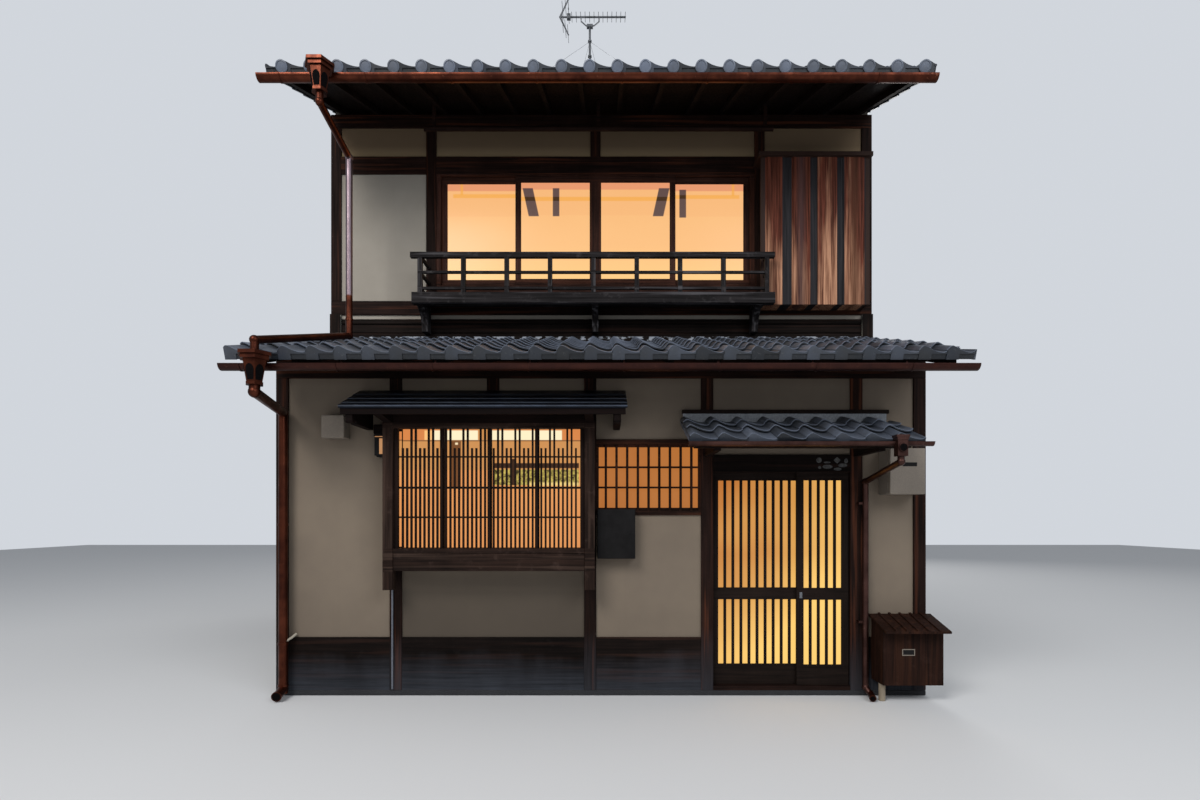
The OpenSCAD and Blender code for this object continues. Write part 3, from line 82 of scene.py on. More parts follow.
# %% [markdown]
# ## A plain floor and soft light
#
# The ground is a large pale sheet, which isn't part of the house. The sky is an even
# pale world. Two wide lamps hang high in front, the left one stronger, so that the eaves throw soft
# shadows down the walls and each tile shows its edge. A weaker one lights the back. The camera sees
# the world a little paler than it shines, which changes the backdrop and no light on the house.

# %% Floor
FLOOR_SIZE = 60.0
FLOOR_DROP = 0.002
STAGE_GREY = (0.70, 0.71, 0.72, 1)

floor_mesh = bpy.data.meshes.new("floor")
s = FLOOR_SIZE / 2
floor_mesh.from_pydata(
    [(-s, -s, -FLOOR_DROP), (s, -s, -FLOOR_DROP), (s, s, -FLOOR_DROP), (-s, s, -FLOOR_DROP)],
    [], [(0, 1, 2, 3)])
floor = bpy.data.objects.new("floor", floor_mesh)
bpy.context.scene.collection.objects.link(floor)
floor_paint = bpy.data.materials.new("floor_paint")
floor_paint.use_nodes = True
floor_paint.node_tree.nodes["Principled BSDF"].inputs["Base Color"].default_value = STAGE_GREY
floor_paint.node_tree.nodes["Principled BSDF"].inputs["Roughness"].default_value = 0.9
floor_mesh.materials.append(floor_paint)
print("floor", FLOOR_SIZE, "m")

# %% World and lamps
WORLD_COLOUR = (0.80, 0.84, 0.90, 1)
WORLD_STRENGTH = 0.42
SEEN_STRENGTH = 0.80

world = bpy.data.worlds.new("pale_world")
world.use_nodes = True
sky = world.node_tree.nodes["Background"]
sky.inputs["Color"].default_value = WORLD_COLOUR
sky.inputs["Strength"].default_value = WORLD_STRENGTH
seen = world.node_tree.nodes.new("ShaderNodeBackground")
seen.inputs["Color"].default_value = WORLD_COLOUR
seen.inputs["Strength"].default_value = SEEN_STRENGTH
ray = world.node_tree.nodes.new("ShaderNodeLightPath")
either = world.node_tree.nodes.new("ShaderNodeMixShader")
link = world.node_tree.links.new
link(ray.outputs["Is Camera Ray"], either.inputs[0])
link(sky.outputs[0], either.inputs[1])
link(seen.outputs[0], either.inputs[2])
link(either.outputs[0], world.node_tree.nodes["World Output"].inputs["Surface"])
bpy.context.scene.world = world


def lamp(name, place, target, size, watts, colour):
    data = bpy.data.lights.new(name, "AREA")
    data.size = size
    data.energy = watts
    data.color = colour
    obj = bpy.data.objects.new(name, data)
    obj.location = place
    obj.rotation_euler = (Vector(target) - Vector(place)).to_track_quat("-Z", "Y").to_euler()
    bpy.context.scene.collection.objects.link(obj)
    return obj


lamp("key", (-6, -10, 11.5), (0, 0, 3.5), 6, 1350, (1.0, 0.97, 0.94))
lamp("fill", (7, -10, 9), (0, 0, 3.5), 7, 620, (0.93, 0.96, 1.0))
lamp("back_light", (6, 18, 10), (0, 5, 4), 8, 800, (1.0, 0.98, 0.95))
bpy.context.scene.view_settings.view_transform = "Standard"

# %% [markdown]
# ## A short hand for shader nodes
#
# Node trees are long when each link is written out. `put` makes a node, sets its own settings and
# fills its sockets in one line: what another node gives is linked, and a plain number is typed in. It
# gives back a `Value`, and plain arithmetic on values makes the math nodes. With them a finish reads
# as a list of what is mixed into what.

# %% Node helpers
class Value:
    """What a node gives. Arithmetic on it makes math nodes in the same tree."""

    def __init__(self, socket):
        self.socket = socket
        self.tree = socket.id_data

    def math(self, kind, other=0.0, clamp=False):
        return put(self.tree, "Math", {0: self, 1: other}, operation=kind, use_clamp=clamp)

    def __add__(self, other):
        return self.math("ADD", other)

    def __sub__(self, other):
        return self.math("SUBTRACT", other)

    def __mul__(self, other):
        return self.math("MULTIPLY", other)


def put(tree, kind, sockets=None, out=0, **settings):
    node = tree.nodes.new("ShaderNode" + kind)
    for key, value in settings.items():
        setattr(node, key, value)
    for key, value in (sockets or {}).items():
        if isinstance(value, Value):
            tree.links.new(value.socket, node.inputs[key])
        else:
            node.inputs[key].default_value = value
    return Value(node.outputs[out])


def blank(name, roughness=0.6, metallic=0.0, specular=0.5):
    """A material, its surface shader, and coordinates in metres that stay with the piece."""
    mat = bpy.data.materials.new(name)
    mat.use_nodes = True
    shader = mat.node_tree.nodes["Principled BSDF"]
    shader.inputs["Roughness"].default_value = roughness
    shader.inputs["Metallic"].default_value = metallic
    shader.inputs["Specular IOR Level"].default_value = specular
    return mat, shader, put(mat.node_tree, "TexCoord", out="Object")


def surface(shader, colour, height, deep, strength=0.6, rough=None):
    """Links a finish to its shader: the colour, the relief in metres and the roughness."""
    relief = put(height.tree, "Bump", {"Height": height, "Distance": deep, "Strength": strength})
    for name, value in (("Base Color", colour), ("Normal", relief), ("Roughness", rough)):
        if value:
            value.tree.links.new(value.socket, shader.inputs[name])


print("values and nodes ready")

# %% Patterns and masks
def noise(vector, scale, detail=3.0, rough=0.55):
    return put(vector.tree, "TexNoise", {"Vector": vector, "Scale": scale, "Detail": detail,
                                         "Roughness": rough}, out="Fac")


def stretch(vector, scale):
    return put(vector.tree, "Mapping", {"Vector": vector, "Scale": scale})


def own(spot, name, out):
    """What each point of a mesh made here carries: its tone, or its place along the grain."""
    return put(spot.tree, "Attribute", out=out, attribute_name=name)


def ramp(value, low, high, first=0.0, last=1.0):
    """A grey that goes from first to last while the value goes from low to high."""
    result = put(value.tree, "ValToRGB", {"Fac": value})
    bar = result.socket.node.color_ramp
    for element, where, grey in zip(bar.elements, (low, high), (first, last)):
        element.position = where
        element.color = (grey, grey, grey, 1)
    return result


def fade(value, start, end, most=1.0):
    """0 at start, and most from end on; the start may lie above the end."""
    return put(value.tree, "MapRange", {"Value": value, "From Min": start, "From Max": end, "To Max": most})


def mix(factor, a, b, blend="MIX"):
    tree = next(v.tree for v in (factor, a, b) if isinstance(v, Value))
    a, b = (v if isinstance(v, Value) else (*v, 1) for v in (a, b))
    return put(tree, "Mix", {0: factor, 6: a, 7: b}, out=2, data_type="RGBA", blend_type=blend)


def axes(vector):
    node = put(vector.tree, "SeparateXYZ", {0: vector}).socket.node
    return [Value(socket) for socket in node.outputs]


def window_of(value, low, high, soft=0.02):
    """1 where value lies between low and high, with a soft edge."""
    return fade(value, low - soft, low + soft) * fade(value, high + soft, high - soft)


def any_of(first, *others):
    """The largest of several values."""
    for other in others:
        first = first.math("MAXIMUM", other)
    return first


print("patterns and masks ready")

# %% [markdown]
# ## Timber
#
# Old stained softwood shows three things: fine grain along the board, broad changes of tone from board
# to board, and a greyer, paler foot where rain splashes. The grain is a noise squeezed across the board
# and stretched along it. Pieces that are built here board by board carry two values in their mesh: the
# place along the board, and a tone of their own. A solid that came as one mesh has neither, so its
# grain follows Z, and the heights where a rail or beam lies are given as bands that turn it to X.

# %% Timber finish
GRAIN = {"x": (1.6, 46, 46), "y": (46, 1.6, 46), "z": (46, 46, 1.6)}


def grain_place(spot, along, bands):
    """Coordinates for grain: squeezed along the board's own direction."""
    if along == "board":
        return stretch(own(spot, "grain", "Vector"), GRAIN["x"])
    vector = stretch(spot, GRAIN[along])
    if bands:
        height = axes(spot)[2]
        inside = any_of(*[window_of(height, low, high, 0.0005) for low, high in bands])
        vector = put(spot.tree, "Mix", {0: inside, 4: vector, 5: stretch(spot, GRAIN["x"])}, out=1,
                     data_type="VECTOR")
    return vector


def timber(name, dark, light, along="board", bands=(), foot=None, rough=0.66, worn=0.12,
           streak=None, masks=None):
    """foot is (height, colour) of the grey that rain leaves; streak is (colour, amount)."""
    mat, shader, spot = blank(name, rough, specular=0.07)
    vector = grain_place(spot, along, bands)
    fine = noise(vector, 1.0, 6, 0.62)
    broad = noise(stretch(spot, (2.3, 2.3, 0.9)), 1.0, 3)
    colour = mix(ramp(fine, 0.32, 0.68), dark, light)
    colour = mix(1.0, colour, ramp(broad, 0.3, 0.72, 0.66, 1.35), "MULTIPLY")
    if streak:
        shade, amount = streak
        long_grain = noise(stretch(vector, (0.45, 0.5, 0.5)), 1.0, 3, 0.5)
        colour = mix(ramp(long_grain, 0.53, 0.66, 0.0, amount), colour, shade)
    if along == "board":
        colour = mix(1.0, colour, ramp(own(spot, "tone", "Fac"), 0.0, 1.0, 0.7, 1.35), "MULTIPLY")
    rubbed = ramp(noise(spot, 9.0, 5, 0.7), 0.56, 0.78, 0.0, worn)
    colour = mix(rubbed, colour, tuple(min(1.0, c * 2.4 + 0.02) for c in light))
    if foot:
        height, grey = foot
        ragged = axes(spot)[2] + broad * -0.35
        amount = fade(ragged, height - 0.17, -0.25) * ramp(fine, 0.3, 0.7, 0.45)
        colour = mix(amount, colour, grey)
    if masks:
        colour = masks(spot, colour)
    surface(shader, colour, fine, 0.0012, 0.6, ramp(fine, 0.2, 0.8, rough + 0.12, rough - 0.1))
    return mat


STAIN = ((0.0060, 0.0034, 0.0028), (0.0210, 0.0092, 0.0066))
RED_STREAK = (0.092, 0.029, 0.014)
FOOT_GREY = (0.036, 0.040, 0.048)

board_stain = timber("board_stain", *STAIN, foot=(0.62, FOOT_GREY), streak=(RED_STREAK, 0.6))
foot_stain = timber("foot_stain", (0.0034, 0.0022, 0.0018), (0.0095, 0.0056, 0.0044), worn=0.15,
                    foot=(0.40, (0.052, 0.060, 0.075)), streak=((0.030, 0.014, 0.010), 0.5))
upright_stain = timber("upright_stain", (0.006, 0.0035, 0.003), (0.017, 0.0085, 0.006), "z")
rafter_stain = timber("rafter_stain", (0.0040, 0.0030, 0.0030), (0.0120, 0.0072, 0.0062), "y")
print("timber finishes", len(bpy.data.materials))

# %% [markdown]
# ## Clay plaster
#
# The walls between the posts are smooth beige clay. It is close to one colour, with large faint clouds
# from the trowel, a fine sandy grain that only shows as a broken highlight, and a darker, greyer edge
# low down. Vertical stains run from under the beams.

# %% Plaster finish
def clay(name, base, cloud, foot_height, stain=0.18, masks=None):
    mat, shader, spot = blank(name, 0.92, specular=0.2)
    clouds = noise(spot, 0.9, 4, 0.6)
    colour = mix(ramp(clouds, 0.35, 0.65), base, cloud)
    streaks = noise(stretch(spot, (7, 7, 0.35)), 1.0, 4, 0.6)
    dirty = tuple(c * 0.62 for c in base)
    colour = mix(ramp(streaks, 0.55, 0.85, 0.0, stain), colour, dirty)
    ragged = axes(spot)[2] + noise(spot, 2.4, 4) * -0.3
    colour = mix(fade(ragged, foot_height, -0.1, 0.45), colour, dirty)
    sand = noise(spot, 260, 3, 0.7)
    colour = mix(0.22, colour, ramp(sand, 0.3, 0.7, 0.78), "MULTIPLY")
    if masks:
        colour = masks(spot, colour)
    surface(shader, colour, sand + clouds * 3.0, 0.0009, 0.5)
    return mat


def roof_foot(spot, colour):
    """Where the upper front meets the lower roof: dark boards, and mortar pushed under them."""
    z = axes(spot)[2]
    colour = mix(window_of(z, 3.6, 3.980, 0.001), colour, (0.0085, 0.0060, 0.0052))
    lumps = ramp(noise(stretch(spot, (1, 1, 1.6)), 13, 4, 0.6), 0.50, 0.56)
    colour = mix(window_of(z, 3.60, 3.772, 0.002) * lumps, colour, (0.36, 0.39, 0.44))
    # At the top of the upper clay: the warm band and the painted shade under the main eave.
    return eave_band_and_shade(colour, z, 5.74, 5.98)


def eave_band_and_shade(colour, z, low, high):
    """Under the eave the clay turns warm yellow in a thin band, then darker and browner towards the top:
    painted shade.
    """
    colour = mix(fade(z, low - 0.02, low) * 0.8, colour, (0.40, 0.29, 0.140))
    return mix(fade(z, low, high, 0.75), colour, (0.085, 0.052, 0.037))


def painted_clay_shade(spot, colour):
    """Painted shade: the clay is darker under the bay, and brown towards the top under the lower eave."""
    x, _, z = axes(spot)
    # Painted shade under the bay, then painted shade below the lower eave.
    under_bay = window_of(x, -1.96, -0.10, 0.02) * window_of(z, -1.0, 1.10, 0.12)
    colour = mix(under_bay * 0.72, colour, (0.040, 0.033, 0.026))
    return mix(fade(z, 2.96, 3.25, 0.8), colour, (0.060, 0.036, 0.025))


# The ground-floor clay is the upper clay made darker: painted shade, for a wall under the eaves.
shaded_lower_clay = clay("shaded_lower_clay", (0.214, 0.172, 0.130), (0.174, 0.140, 0.108), 0.9, masks=painted_clay_shade)
back_clay = clay("back_clay", (0.250, 0.218, 0.180), (0.215, 0.188, 0.155), 0.9)
upper_clay = clay("upper_clay", (0.350, 0.320, 0.275), (0.305, 0.278, 0.238), 0.9, masks=roof_foot)
party_clay = clay("party_clay", (0.215, 0.200, 0.172), (0.170, 0.158, 0.138), 1.2, 0.5)
print("clay finishes ready")

# %% [markdown]
# ## Smoked tile
#
# Roof tiles are fired in smoke, which leaves a blue-grey skin with a low silver sheen. No two are the
# same: each tile mesh carries its own tone, and on the slopes that tone is also painted highlight along
# the front edge of each tile and painted shade at its back and foot. On top of that come small pale
# spots and a wash of dirt. The sheen comes from a middling roughness that varies over the tile.

# %% Tile finish
tile_skin, shader, spot = blank("tile_skin", 0.42, specular=0.45)
tone_and_painted_light = own(spot, "tone", "Fac").math("MULTIPLY", 0.62, True)
wash = noise(spot, 5.0, 5, 0.65)
spots = noise(spot, 46, 4, 0.6)
colour = mix(tone_and_painted_light, (0.0075, 0.0095, 0.0130), (0.180, 0.212, 0.280))
colour = mix(ramp(wash, 0.42, 0.75, 0.0, 0.6), colour, (0.030, 0.030, 0.029))
colour = mix(ramp(spots, 0.62, 0.74, 0.0, 0.45), colour, (0.15, 0.155, 0.155))
surface(shader, colour, spots, 0.0015, 0.5, ramp(wash, 0.3, 0.75, 0.26, 0.62))
print("tile finish ready")

# %% [markdown]
# ## Sheet metal
#
# Gutters and pipes are copper that has turned red-brown: metallic, with darker runs where water
# drips and a few bright rubbed places. The bay roof is painted sheet, so it isn't metallic at all:
# dark blue-grey paint with a soft gloss. Its folds and front edge are a paler blue: painted highlight.

# %% Metal finishes
def aged_metal(name, dark, light, bright, metallic, rough, run_scale=(3, 3, 0.6), gloss=0.5,
               masks=None):
    mat, shader, spot = blank(name, rough, metallic, gloss)
    patches = noise(spot, 6.0, 5, 0.6)
    runs = noise(stretch(spot, run_scale), 4.0, 4, 0.6)
    colour = mix(ramp(patches, 0.35, 0.65), dark, light)
    colour = mix(ramp(runs, 0.52, 0.72, 0.0, 0.7), colour, dark)
    colour = mix(ramp(noise(spot, 21, 5, 0.7), 0.63, 0.74, 0.0, 0.65), colour, bright)
    if masks:
        colour = masks(spot, colour)
    surface(shader, colour, patches, 0.0012, 0.35, ramp(patches, 0.3, 0.7, rough + 0.15, rough - 0.08))
    return mat


def pale_upright_run(spot, colour):
    """The upright part of the upper pipe is pale mauve."""
    _, y, z = axes(spot)
    pale = mix(noise(stretch(spot, (9, 9, 1.5)), 3.0, 4), (0.130, 0.096, 0.110), (0.250, 0.192, 0.218))
    return mix(window_of(y, 0.30, 0.60, 0.002) * window_of(z, 3.95, 6.0, 0.01), colour, pale)


def lower_gutter_shade(spot, colour):
    """Painted shade: the gutter of the lower roof hangs in the shade, so its copper is darkened."""
    return mix(window_of(axes(spot)[2], 2.0, 4.0) * 0.70, colour, (0.034, 0.017, 0.016))


COPPER = ((0.040, 0.0095, 0.0048), (0.108, 0.028, 0.0135), (0.32, 0.120, 0.070), 0.9, 0.36)
copper = aged_metal("brown_copper", *COPPER)
pipe_copper = aged_metal("pipe_copper", *COPPER, masks=pale_upright_run)
gutter_copper = aged_metal("gutter_copper", *COPPER, masks=lower_gutter_shade)
dull_copper = aged_metal("dull_copper", (0.036, 0.015, 0.012), (0.088, 0.040, 0.032), (0.26, 0.15, 0.13),
                         0.85, 0.36)
fold_highlight_paint = aged_metal("fold_highlight_paint", (0.024, 0.032, 0.050), (0.060, 0.080, 0.122),
                       (0.11, 0.14, 0.20), 0.0, 0.38, (0.5, 4, 4))
dark_metal = aged_metal("dark_metal", (0.0060, 0.0055, 0.0058), (0.0105, 0.0098, 0.0102),
                        (0.022, 0.021, 0.022), 0.0, 0.60, gloss=0.12)
mast_metal = aged_metal("mast_metal", (0.12, 0.13, 0.14), (0.24, 0.25, 0.27),
                        (0.45, 0.46, 0.48), 0.85, 0.45)
print("metal finishes ready")

# %% Stone and plastic
def speckled(name, dark, light, scale, rough, deep=0.001, gloss=0.3):
    mat, shader, spot = blank(name, rough, specular=gloss)
    grit = noise(spot, scale, 5, 0.7)
    colour = mix(ramp(grit, 0.35, 0.65), dark, light)
    colour = mix(1.0, colour, ramp(noise(spot, scale / 40, 3), 0.3, 0.7, 0.8, 1.1), "MULTIPLY")
    surface(shader, colour, grit, deep)
    return mat


stone = speckled("foot_stone", (0.016, 0.017, 0.019), (0.038, 0.040, 0.044), 90, 0.85, 0.002)
pale_box = speckled("pale_box", (0.205, 0.172, 0.140), (0.240, 0.203, 0.165), 60, 0.5, 0.0003)
white_plastic = speckled("white_plastic", (0.34, 0.31, 0.25), (0.44, 0.40, 0.33), 60, 0.5, 0.0003)
grey_plastic = speckled("grey_plastic", (0.105, 0.115, 0.140), (0.150, 0.160, 0.190), 60, 0.5, 0.0003)
print("stone and plastic ready")

# %% [markdown]
# ## Lit glass
#
# In the evening the windows are the brightest thing on the house. Each pane is a thin solid with a
# warm surface that also gives light of its own, so it reads as a lit room behind frosted glass. A real
# room is never lit evenly, so the light changes over the pane: clouds of brighter and deeper amber,
# a brighter band where a lamp hangs, and a deeper tone towards an edge. What stands in the room is
# drawn as plain patches, from tables that give a colour, a width, a range of heights and an amount.

# %% Glass finish
def lit_glass(name, deep, bright, marks=None, cloud=1.1, low=0.0, rise=0.0, turn=0.0):
    """low is a height: the light grows below it by rise, and by turn to the right."""
    mat, shader, spot = blank(name, 0.25, specular=0.25)
    x, _, z = axes(spot)
    glow = ramp(noise(spot, cloud, 3, 0.5), 0.30, 0.70, 0.0, 0.45)
    if rise:
        glow = glow + fade(z, low + 0.5, low - 0.5, rise)
    if turn:
        glow = glow + fade(x, 1.2, 2.35, turn)
    colour = mix(glow.math("ADD", 0.0, True), deep, bright)
    if marks:
        colour = marks(spot, colour)
    shader.inputs["Base Color"].default_value = (0.05, 0.032, 0.018, 1)
    shader.inputs["Emission Strength"].default_value = 1.0
    colour.tree.links.new(colour.socket, shader.inputs["Emission Color"])
    return mat


print("glass ready")

# %% Marks behind the panes
def mark(spot, colour, shade, x_range, z_range, amount=1.0, soft=0.004):
    """A patch of another colour between two places across and two heights."""
    x, _, z = axes(spot)
    mask = window_of(z, *z_range, soft)
    if x_range:
        mask = mask * window_of(x, *x_range, soft)
    return mix(mask * amount, colour, shade)


RAILS = (((-1.72, -0.98), (5.405, 5.450)), ((-0.98, 0.83), (5.355, 5.402)), ((0.83, 1.60), (5.396, 5.440)),
         ((-1.635, -1.605), (5.44, 5.60)), ((1.512, 1.542), (5.43, 5.60)))
BRACES = ((-0.78, -0.22, 0.059), (-0.524, 0.0, 0.038), (0.653, 0.22, 0.061), (0.943, 0.0, 0.039))
BRACE_LOW, BRACE_FOOT, BRACE_TOP = 5.175, 5.178, 5.502


def ceiling_marks(spot, colour):
    """What shows of the upper room: the edge of the ceiling, a rail, and dark braces."""
    x, _, z = axes(spot)
    colour = mark(spot, colour, (0.90, 0.44, 0.18), None, (5.190, 5.485), 0.35)
    colour = mark(spot, colour, (0.78, 0.30, 0.155), None, (5.485, 5.80), 0.9)
    colour = mix(fade(z, 4.85, 4.50, 0.7), colour, (1.0, 0.62, 0.24))
    dark = (0.075, 0.050, 0.058)
    for x_range, z_range in RAILS:
        colour = mark(spot, colour, (0.90, 0.40, 0.06), x_range, z_range, 0.7)
        dark = mark(spot, dark, (0.012, 0.005, 0.005), x_range, z_range)
    for foot_x, lean, half in BRACES:
        middle = x - foot_x - (z - BRACE_LOW) * lean
        brace = window_of(middle, -half, half, 0.004) * window_of(z, BRACE_FOOT, BRACE_TOP, 0.004)
        colour = mix(brace * 0.96, colour, dark)
    return colour


ROOM = (((0.52, 0.27, 0.085), None, (2.16, 2.44), 0.55), ((0.70, 0.24, 0.07), None, (2.448, 2.60)),
        ((1.0, 0.88, 0.58), (-1.628, -0.376), (2.448, 2.541)),
        ((1.0, 0.55, 0.20), (-1.70, -1.628), (2.448, 2.541)),
        ((0.62, 0.27, 0.08), (-1.185, -1.055), (2.448, 2.60)),
        ((0.20, 0.085, 0.03), None, (2.437, 2.448)),
        ((0.13, 0.045, 0.016), (-1.441, -1.349), (1.995, 2.438), 0.9),
        ((1.0, 0.80, 0.50), (-1.404, -1.378), (2.404, 2.424)),
        ("leaves", (-1.040, -0.212), (2.014, 2.165)),
        ((1.0, 0.72, 0.26), (-0.70, -0.212), (2.008, 2.042), 0.8, 0.01),
        ((0.045, 0.018, 0.009), (-1.040, -0.212), (2.178, 2.227)),
        ((0.045, 0.018, 0.009), (-0.867, -0.828), (2.014, 2.268)))


def room_marks(spot, colour):
    """What shows of the room behind the bay: a lit ceiling band, a post, a shelf and its plants."""
    leaves = ramp(noise(spot, 24, 4, 0.7), 0.38, 0.60)
    green = mix(leaves, (0.035, 0.026, 0.010), (0.62, 0.48, 0.11))
    for shade, *where in ROOM:
        colour = mark(spot, colour, green if shade == "leaves" else shade, *where)
    return colour


print("rails", len(RAILS), "braces", len(BRACES), "patches", len(ROOM))

# %% Lit panes
bay_glow = lit_glass("bay_glow", (0.74, 0.29, 0.095), (0.90, 0.42, 0.135), room_marks)
high_glow = lit_glass("high_glow", (0.41, 0.132, 0.026), (0.53, 0.192, 0.042))
door_glow = lit_glass("door_glow", (0.45, 0.120, 0.016), (1.0, 0.62, 0.165), low=0.85, rise=0.50,
                      turn=0.62, cloud=0.8)
lamp_glow = lit_glass("lamp_glow", (0.36, 0.155, 0.060), (0.66, 0.36, 0.165), cloud=6.0)
upper_glow = lit_glass("upper_glow", (0.93, 0.50, 0.205), (0.97, 0.56, 0.24), ceiling_marks)
back_glow = lit_glass("back_glow", (0.20, 0.11, 0.05), (0.36, 0.21, 0.10))
print("lit panes ready")

# %% [markdown]
# ## Boards with worn edges
#
# A sawn board never has a knife edge. Each solid of a node that is a plain length of timber is
# measured, and a new board is made in its place: a box whose mesh carries its own tone and grain
# coordinates, with a bevel modifier for the worn arris. The three sizes of the box say which way the
# grain runs, because a board is longest along its grain.

# %% Mesh helpers
chance = random.Random(7)


def ring_faces(rings, sides):
    """The faces between rings of points, each ring joined to the next."""
    return [(i * sides + k, i * sides + (k + 1) % sides, (i + 1) * sides + (k + 1) % sides,
             (i + 1) * sides + k) for i in range(rings - 1) for k in range(sides)]


class Shape:
    """Gathers points and faces, with a tone and a grain place for each point."""

    def __init__(self):
        self.points, self.faces, self.tones, self.grains = [], [], [], []

    def add(self, points, faces, tone=0.5, grains=None):
        first = len(self.points)
        self.points += [tuple(p) for p in points]
        self.faces += [tuple(first + i for i in f) for f in faces]
        self.tones += [tone] * len(points)
        self.grains += grains or [tuple(p) for p in points]

    def box(self, lo, hi, tone=None):
        """Its grain runs along its longest side, and without a tone it gets one by chance."""
        size = [b - a for a, b in zip(lo, hi)]
        along = size.index(max(size))
        first, second = [k for k in range(3) if k != along]
        points = [tuple(hi[k] if (i >> k) & 1 else lo[k] for k in range(3)) for i in range(8)]
        shift = chance.uniform(0, 40)
        grains = [(p[along] + shift, p[first] + shift, p[second] - shift) for p in points]
        faces = [(0, 2, 3, 1), (4, 5, 7, 6), (0, 1, 5, 4), (2, 6, 7, 3), (0, 4, 6, 2), (1, 3, 7, 5)]
        self.add(points, faces, chance.random() if tone is None else tone, grains)

    def tube(self, path, radius, sides=12, tone=0.5):
        """A round bar along points."""
        path = [Vector(p) for p in path]
        points, side = [], None
        for i, p in enumerate(path):
            ahead = (path[min(i + 1, len(path) - 1)] - path[max(i - 1, 0)]).normalized()
            if side is None:
                side = ahead.orthogonal().normalized()
            side = (side - ahead * side.dot(ahead)).normalized()
            up = ahead.cross(side)
            for k in range(sides):
                a = 2 * math.pi * k / sides
                points.append(p + (side * math.cos(a) + up * math.sin(a)) * radius)
        ends = [tuple(reversed(range(sides))), tuple(range(len(points) - sides, len(points)))]
        self.add(points, ring_faces(len(path), sides) + ends, tone)

    def prism(self, front, back, tone=0.5):
        """A closed piece between two outlines that have the same number of points."""
        n = len(front)
        faces = [tuple(range(n)), tuple(range(2 * n - 1, n - 1, -1))]
        faces += [(i, i + n, (i + 1) % n + n, (i + 1) % n) for i in range(n)]
        self.add(front + back, faces, tone)

    def make(self, name, material, slot, body="house", bevel=0.0, smooth=None, replaced=()):
        mesh = bpy.data.meshes.new(name)
        mesh.from_pydata(self.points, [], self.faces)
        mesh.attributes.new("tone", "FLOAT", "POINT").data.foreach_set("value", self.tones)
        mesh.attributes.new("grain", "FLOAT_VECTOR", "POINT").data.foreach_set(
            "vector", np.array(self.grains, np.float32).ravel())
        solid = bmesh.new()
        solid.from_mesh(mesh)
        bmesh.ops.recalc_face_normals(solid, faces=solid.faces)
        solid.to_mesh(mesh)
        solid.free()
        if smooth is not None:
            mesh.shade_smooth()
            mesh.set_sharp_from_angle(angle=math.radians(smooth))
        obj = bpy.data.objects.new(name, mesh)
        bpy.context.scene.collection.objects.link(obj)
        mesh.materials.append(material)
        if bevel:
            worn_edges(obj, bevel)
        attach(obj, body)
        if replaced:
            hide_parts(*replaced)
        return obj


print("shapes ready")

# %% Worn edges and solids
def worn_edges(obj, width, segments=2):
    cut = obj.modifiers.new("worn_edges", "BEVEL")
    cut.width = width
    cut.segments = segments
    cut.limit_method = "ANGLE"
    cut.angle_limit = math.radians(40)
    cut.harden_normals = False


def solids_of(node):
    """The lowest and highest corner of each separate solid in a node."""
    solid = bmesh.new()
    solid.from_mesh(nodes[node].data)
    bmesh.ops.remove_doubles(solid, verts=solid.verts, dist=1e-5)
    seen, found = set(), []
    for start in solid.verts:
        if start in seen:
            continue
        group, queue = [], [start]
        seen.add(start)
        while queue:
            v = queue.pop()
            group.append(v.co.copy())
            for e in v.link_edges:
                o = e.other_vert(v)
                if o not in seen:
                    seen.add(o)
                    queue.append(o)
        found.append((Vector(map(min, *group)), Vector(map(max, *group))))
    solid.free()
    return sorted(found, key=lambda b: tuple(round(c, 4) for c in (*b[0], *b[1])))


print("panes", len(solids_of("window_glass")), "posts", len(solids_of("ground_posts")))

# %% Posts and beams
def boards_for(node, material, slot, name="_boards", pick=lambda lo, hi: True):
    shape = Shape()
    for lo, hi in solids_of(node):
        if pick(lo, hi):
            shape.box(lo, hi)
    board = shape.make(node + name, material, slot, bevel=0.004, replaced=(node,))
    print(board.name, len(shape.points) // 8, "boards")


def at_roof_foot(lo, hi):
    return hi.z < 4.0 and lo.z > 3.6


for node in ("ground_posts", "upper_posts", "wall_beams"):
    boards_for(node, board_stain, "dark_timber", pick=lambda lo, hi: not at_roof_foot(lo, hi))
boards_for("wainscot", foot_stain, "weathered_timber")
boards_for("wall_beams", foot_stain, "dark_timber", "_at_roof_foot", at_roof_foot)

# %% [markdown]
# ## Pantiles
#
# Both slopes and the entrance roof carry pantiles: a shallow trough and a round roll in one wave. The
# solid has the wave as one sheet. On the real roof each row of tiles rests on the row below it, so the
# roof climbs in steps with a shadow under each, and each roll covers the edge of its neighbour. Every
# tile here is a closed piece of the same wave, tipped a little so that its front lies on the row below,
# with a small random lift and a tone of its own. Joined in one mesh, a thousand tiles stay light.

# %% Tile wave
WAVE_AT = (0, 0.08, 0.17, 0.25, 0.33, 0.42, 0.50, 0.58, 0.67, 0.75, 0.84, 0.92, 1)
WAVE_H = (1, 0.93, 0.78, 0.6, 0.43, 0.29, 0.18, 0.09, 0.03, 0, 0.12, 0.6, 1)
ROLL_H = 0.052
TILE_T = 0.015
TILE_LIFT, FIRST_LIFT = 0.025, 0.006
STEPS = 16
LAP, LAP_LIFT, ROW_LAP = 0.15, 0.008, 0.05
TILE_W, NARROWEST = 1.03, 0.03
RISE, SHIFT = 0.002, 0.003
TILE_TONE, VERGE_TONE = (0.42, 0.27), (0.45, 0.22)
LIP_OUT, LIP_IN, LIP_UP, LIP_T, LIP_HIGHLIGHT_TONE = 0.0025, 0.003, 0.0012, 0.004, 1.55
ROLL_PART = 0.36
PLATE_T, RIM_H = 0.008, 0.013
DISC_R, DISC_SIDES = 0.056, 20
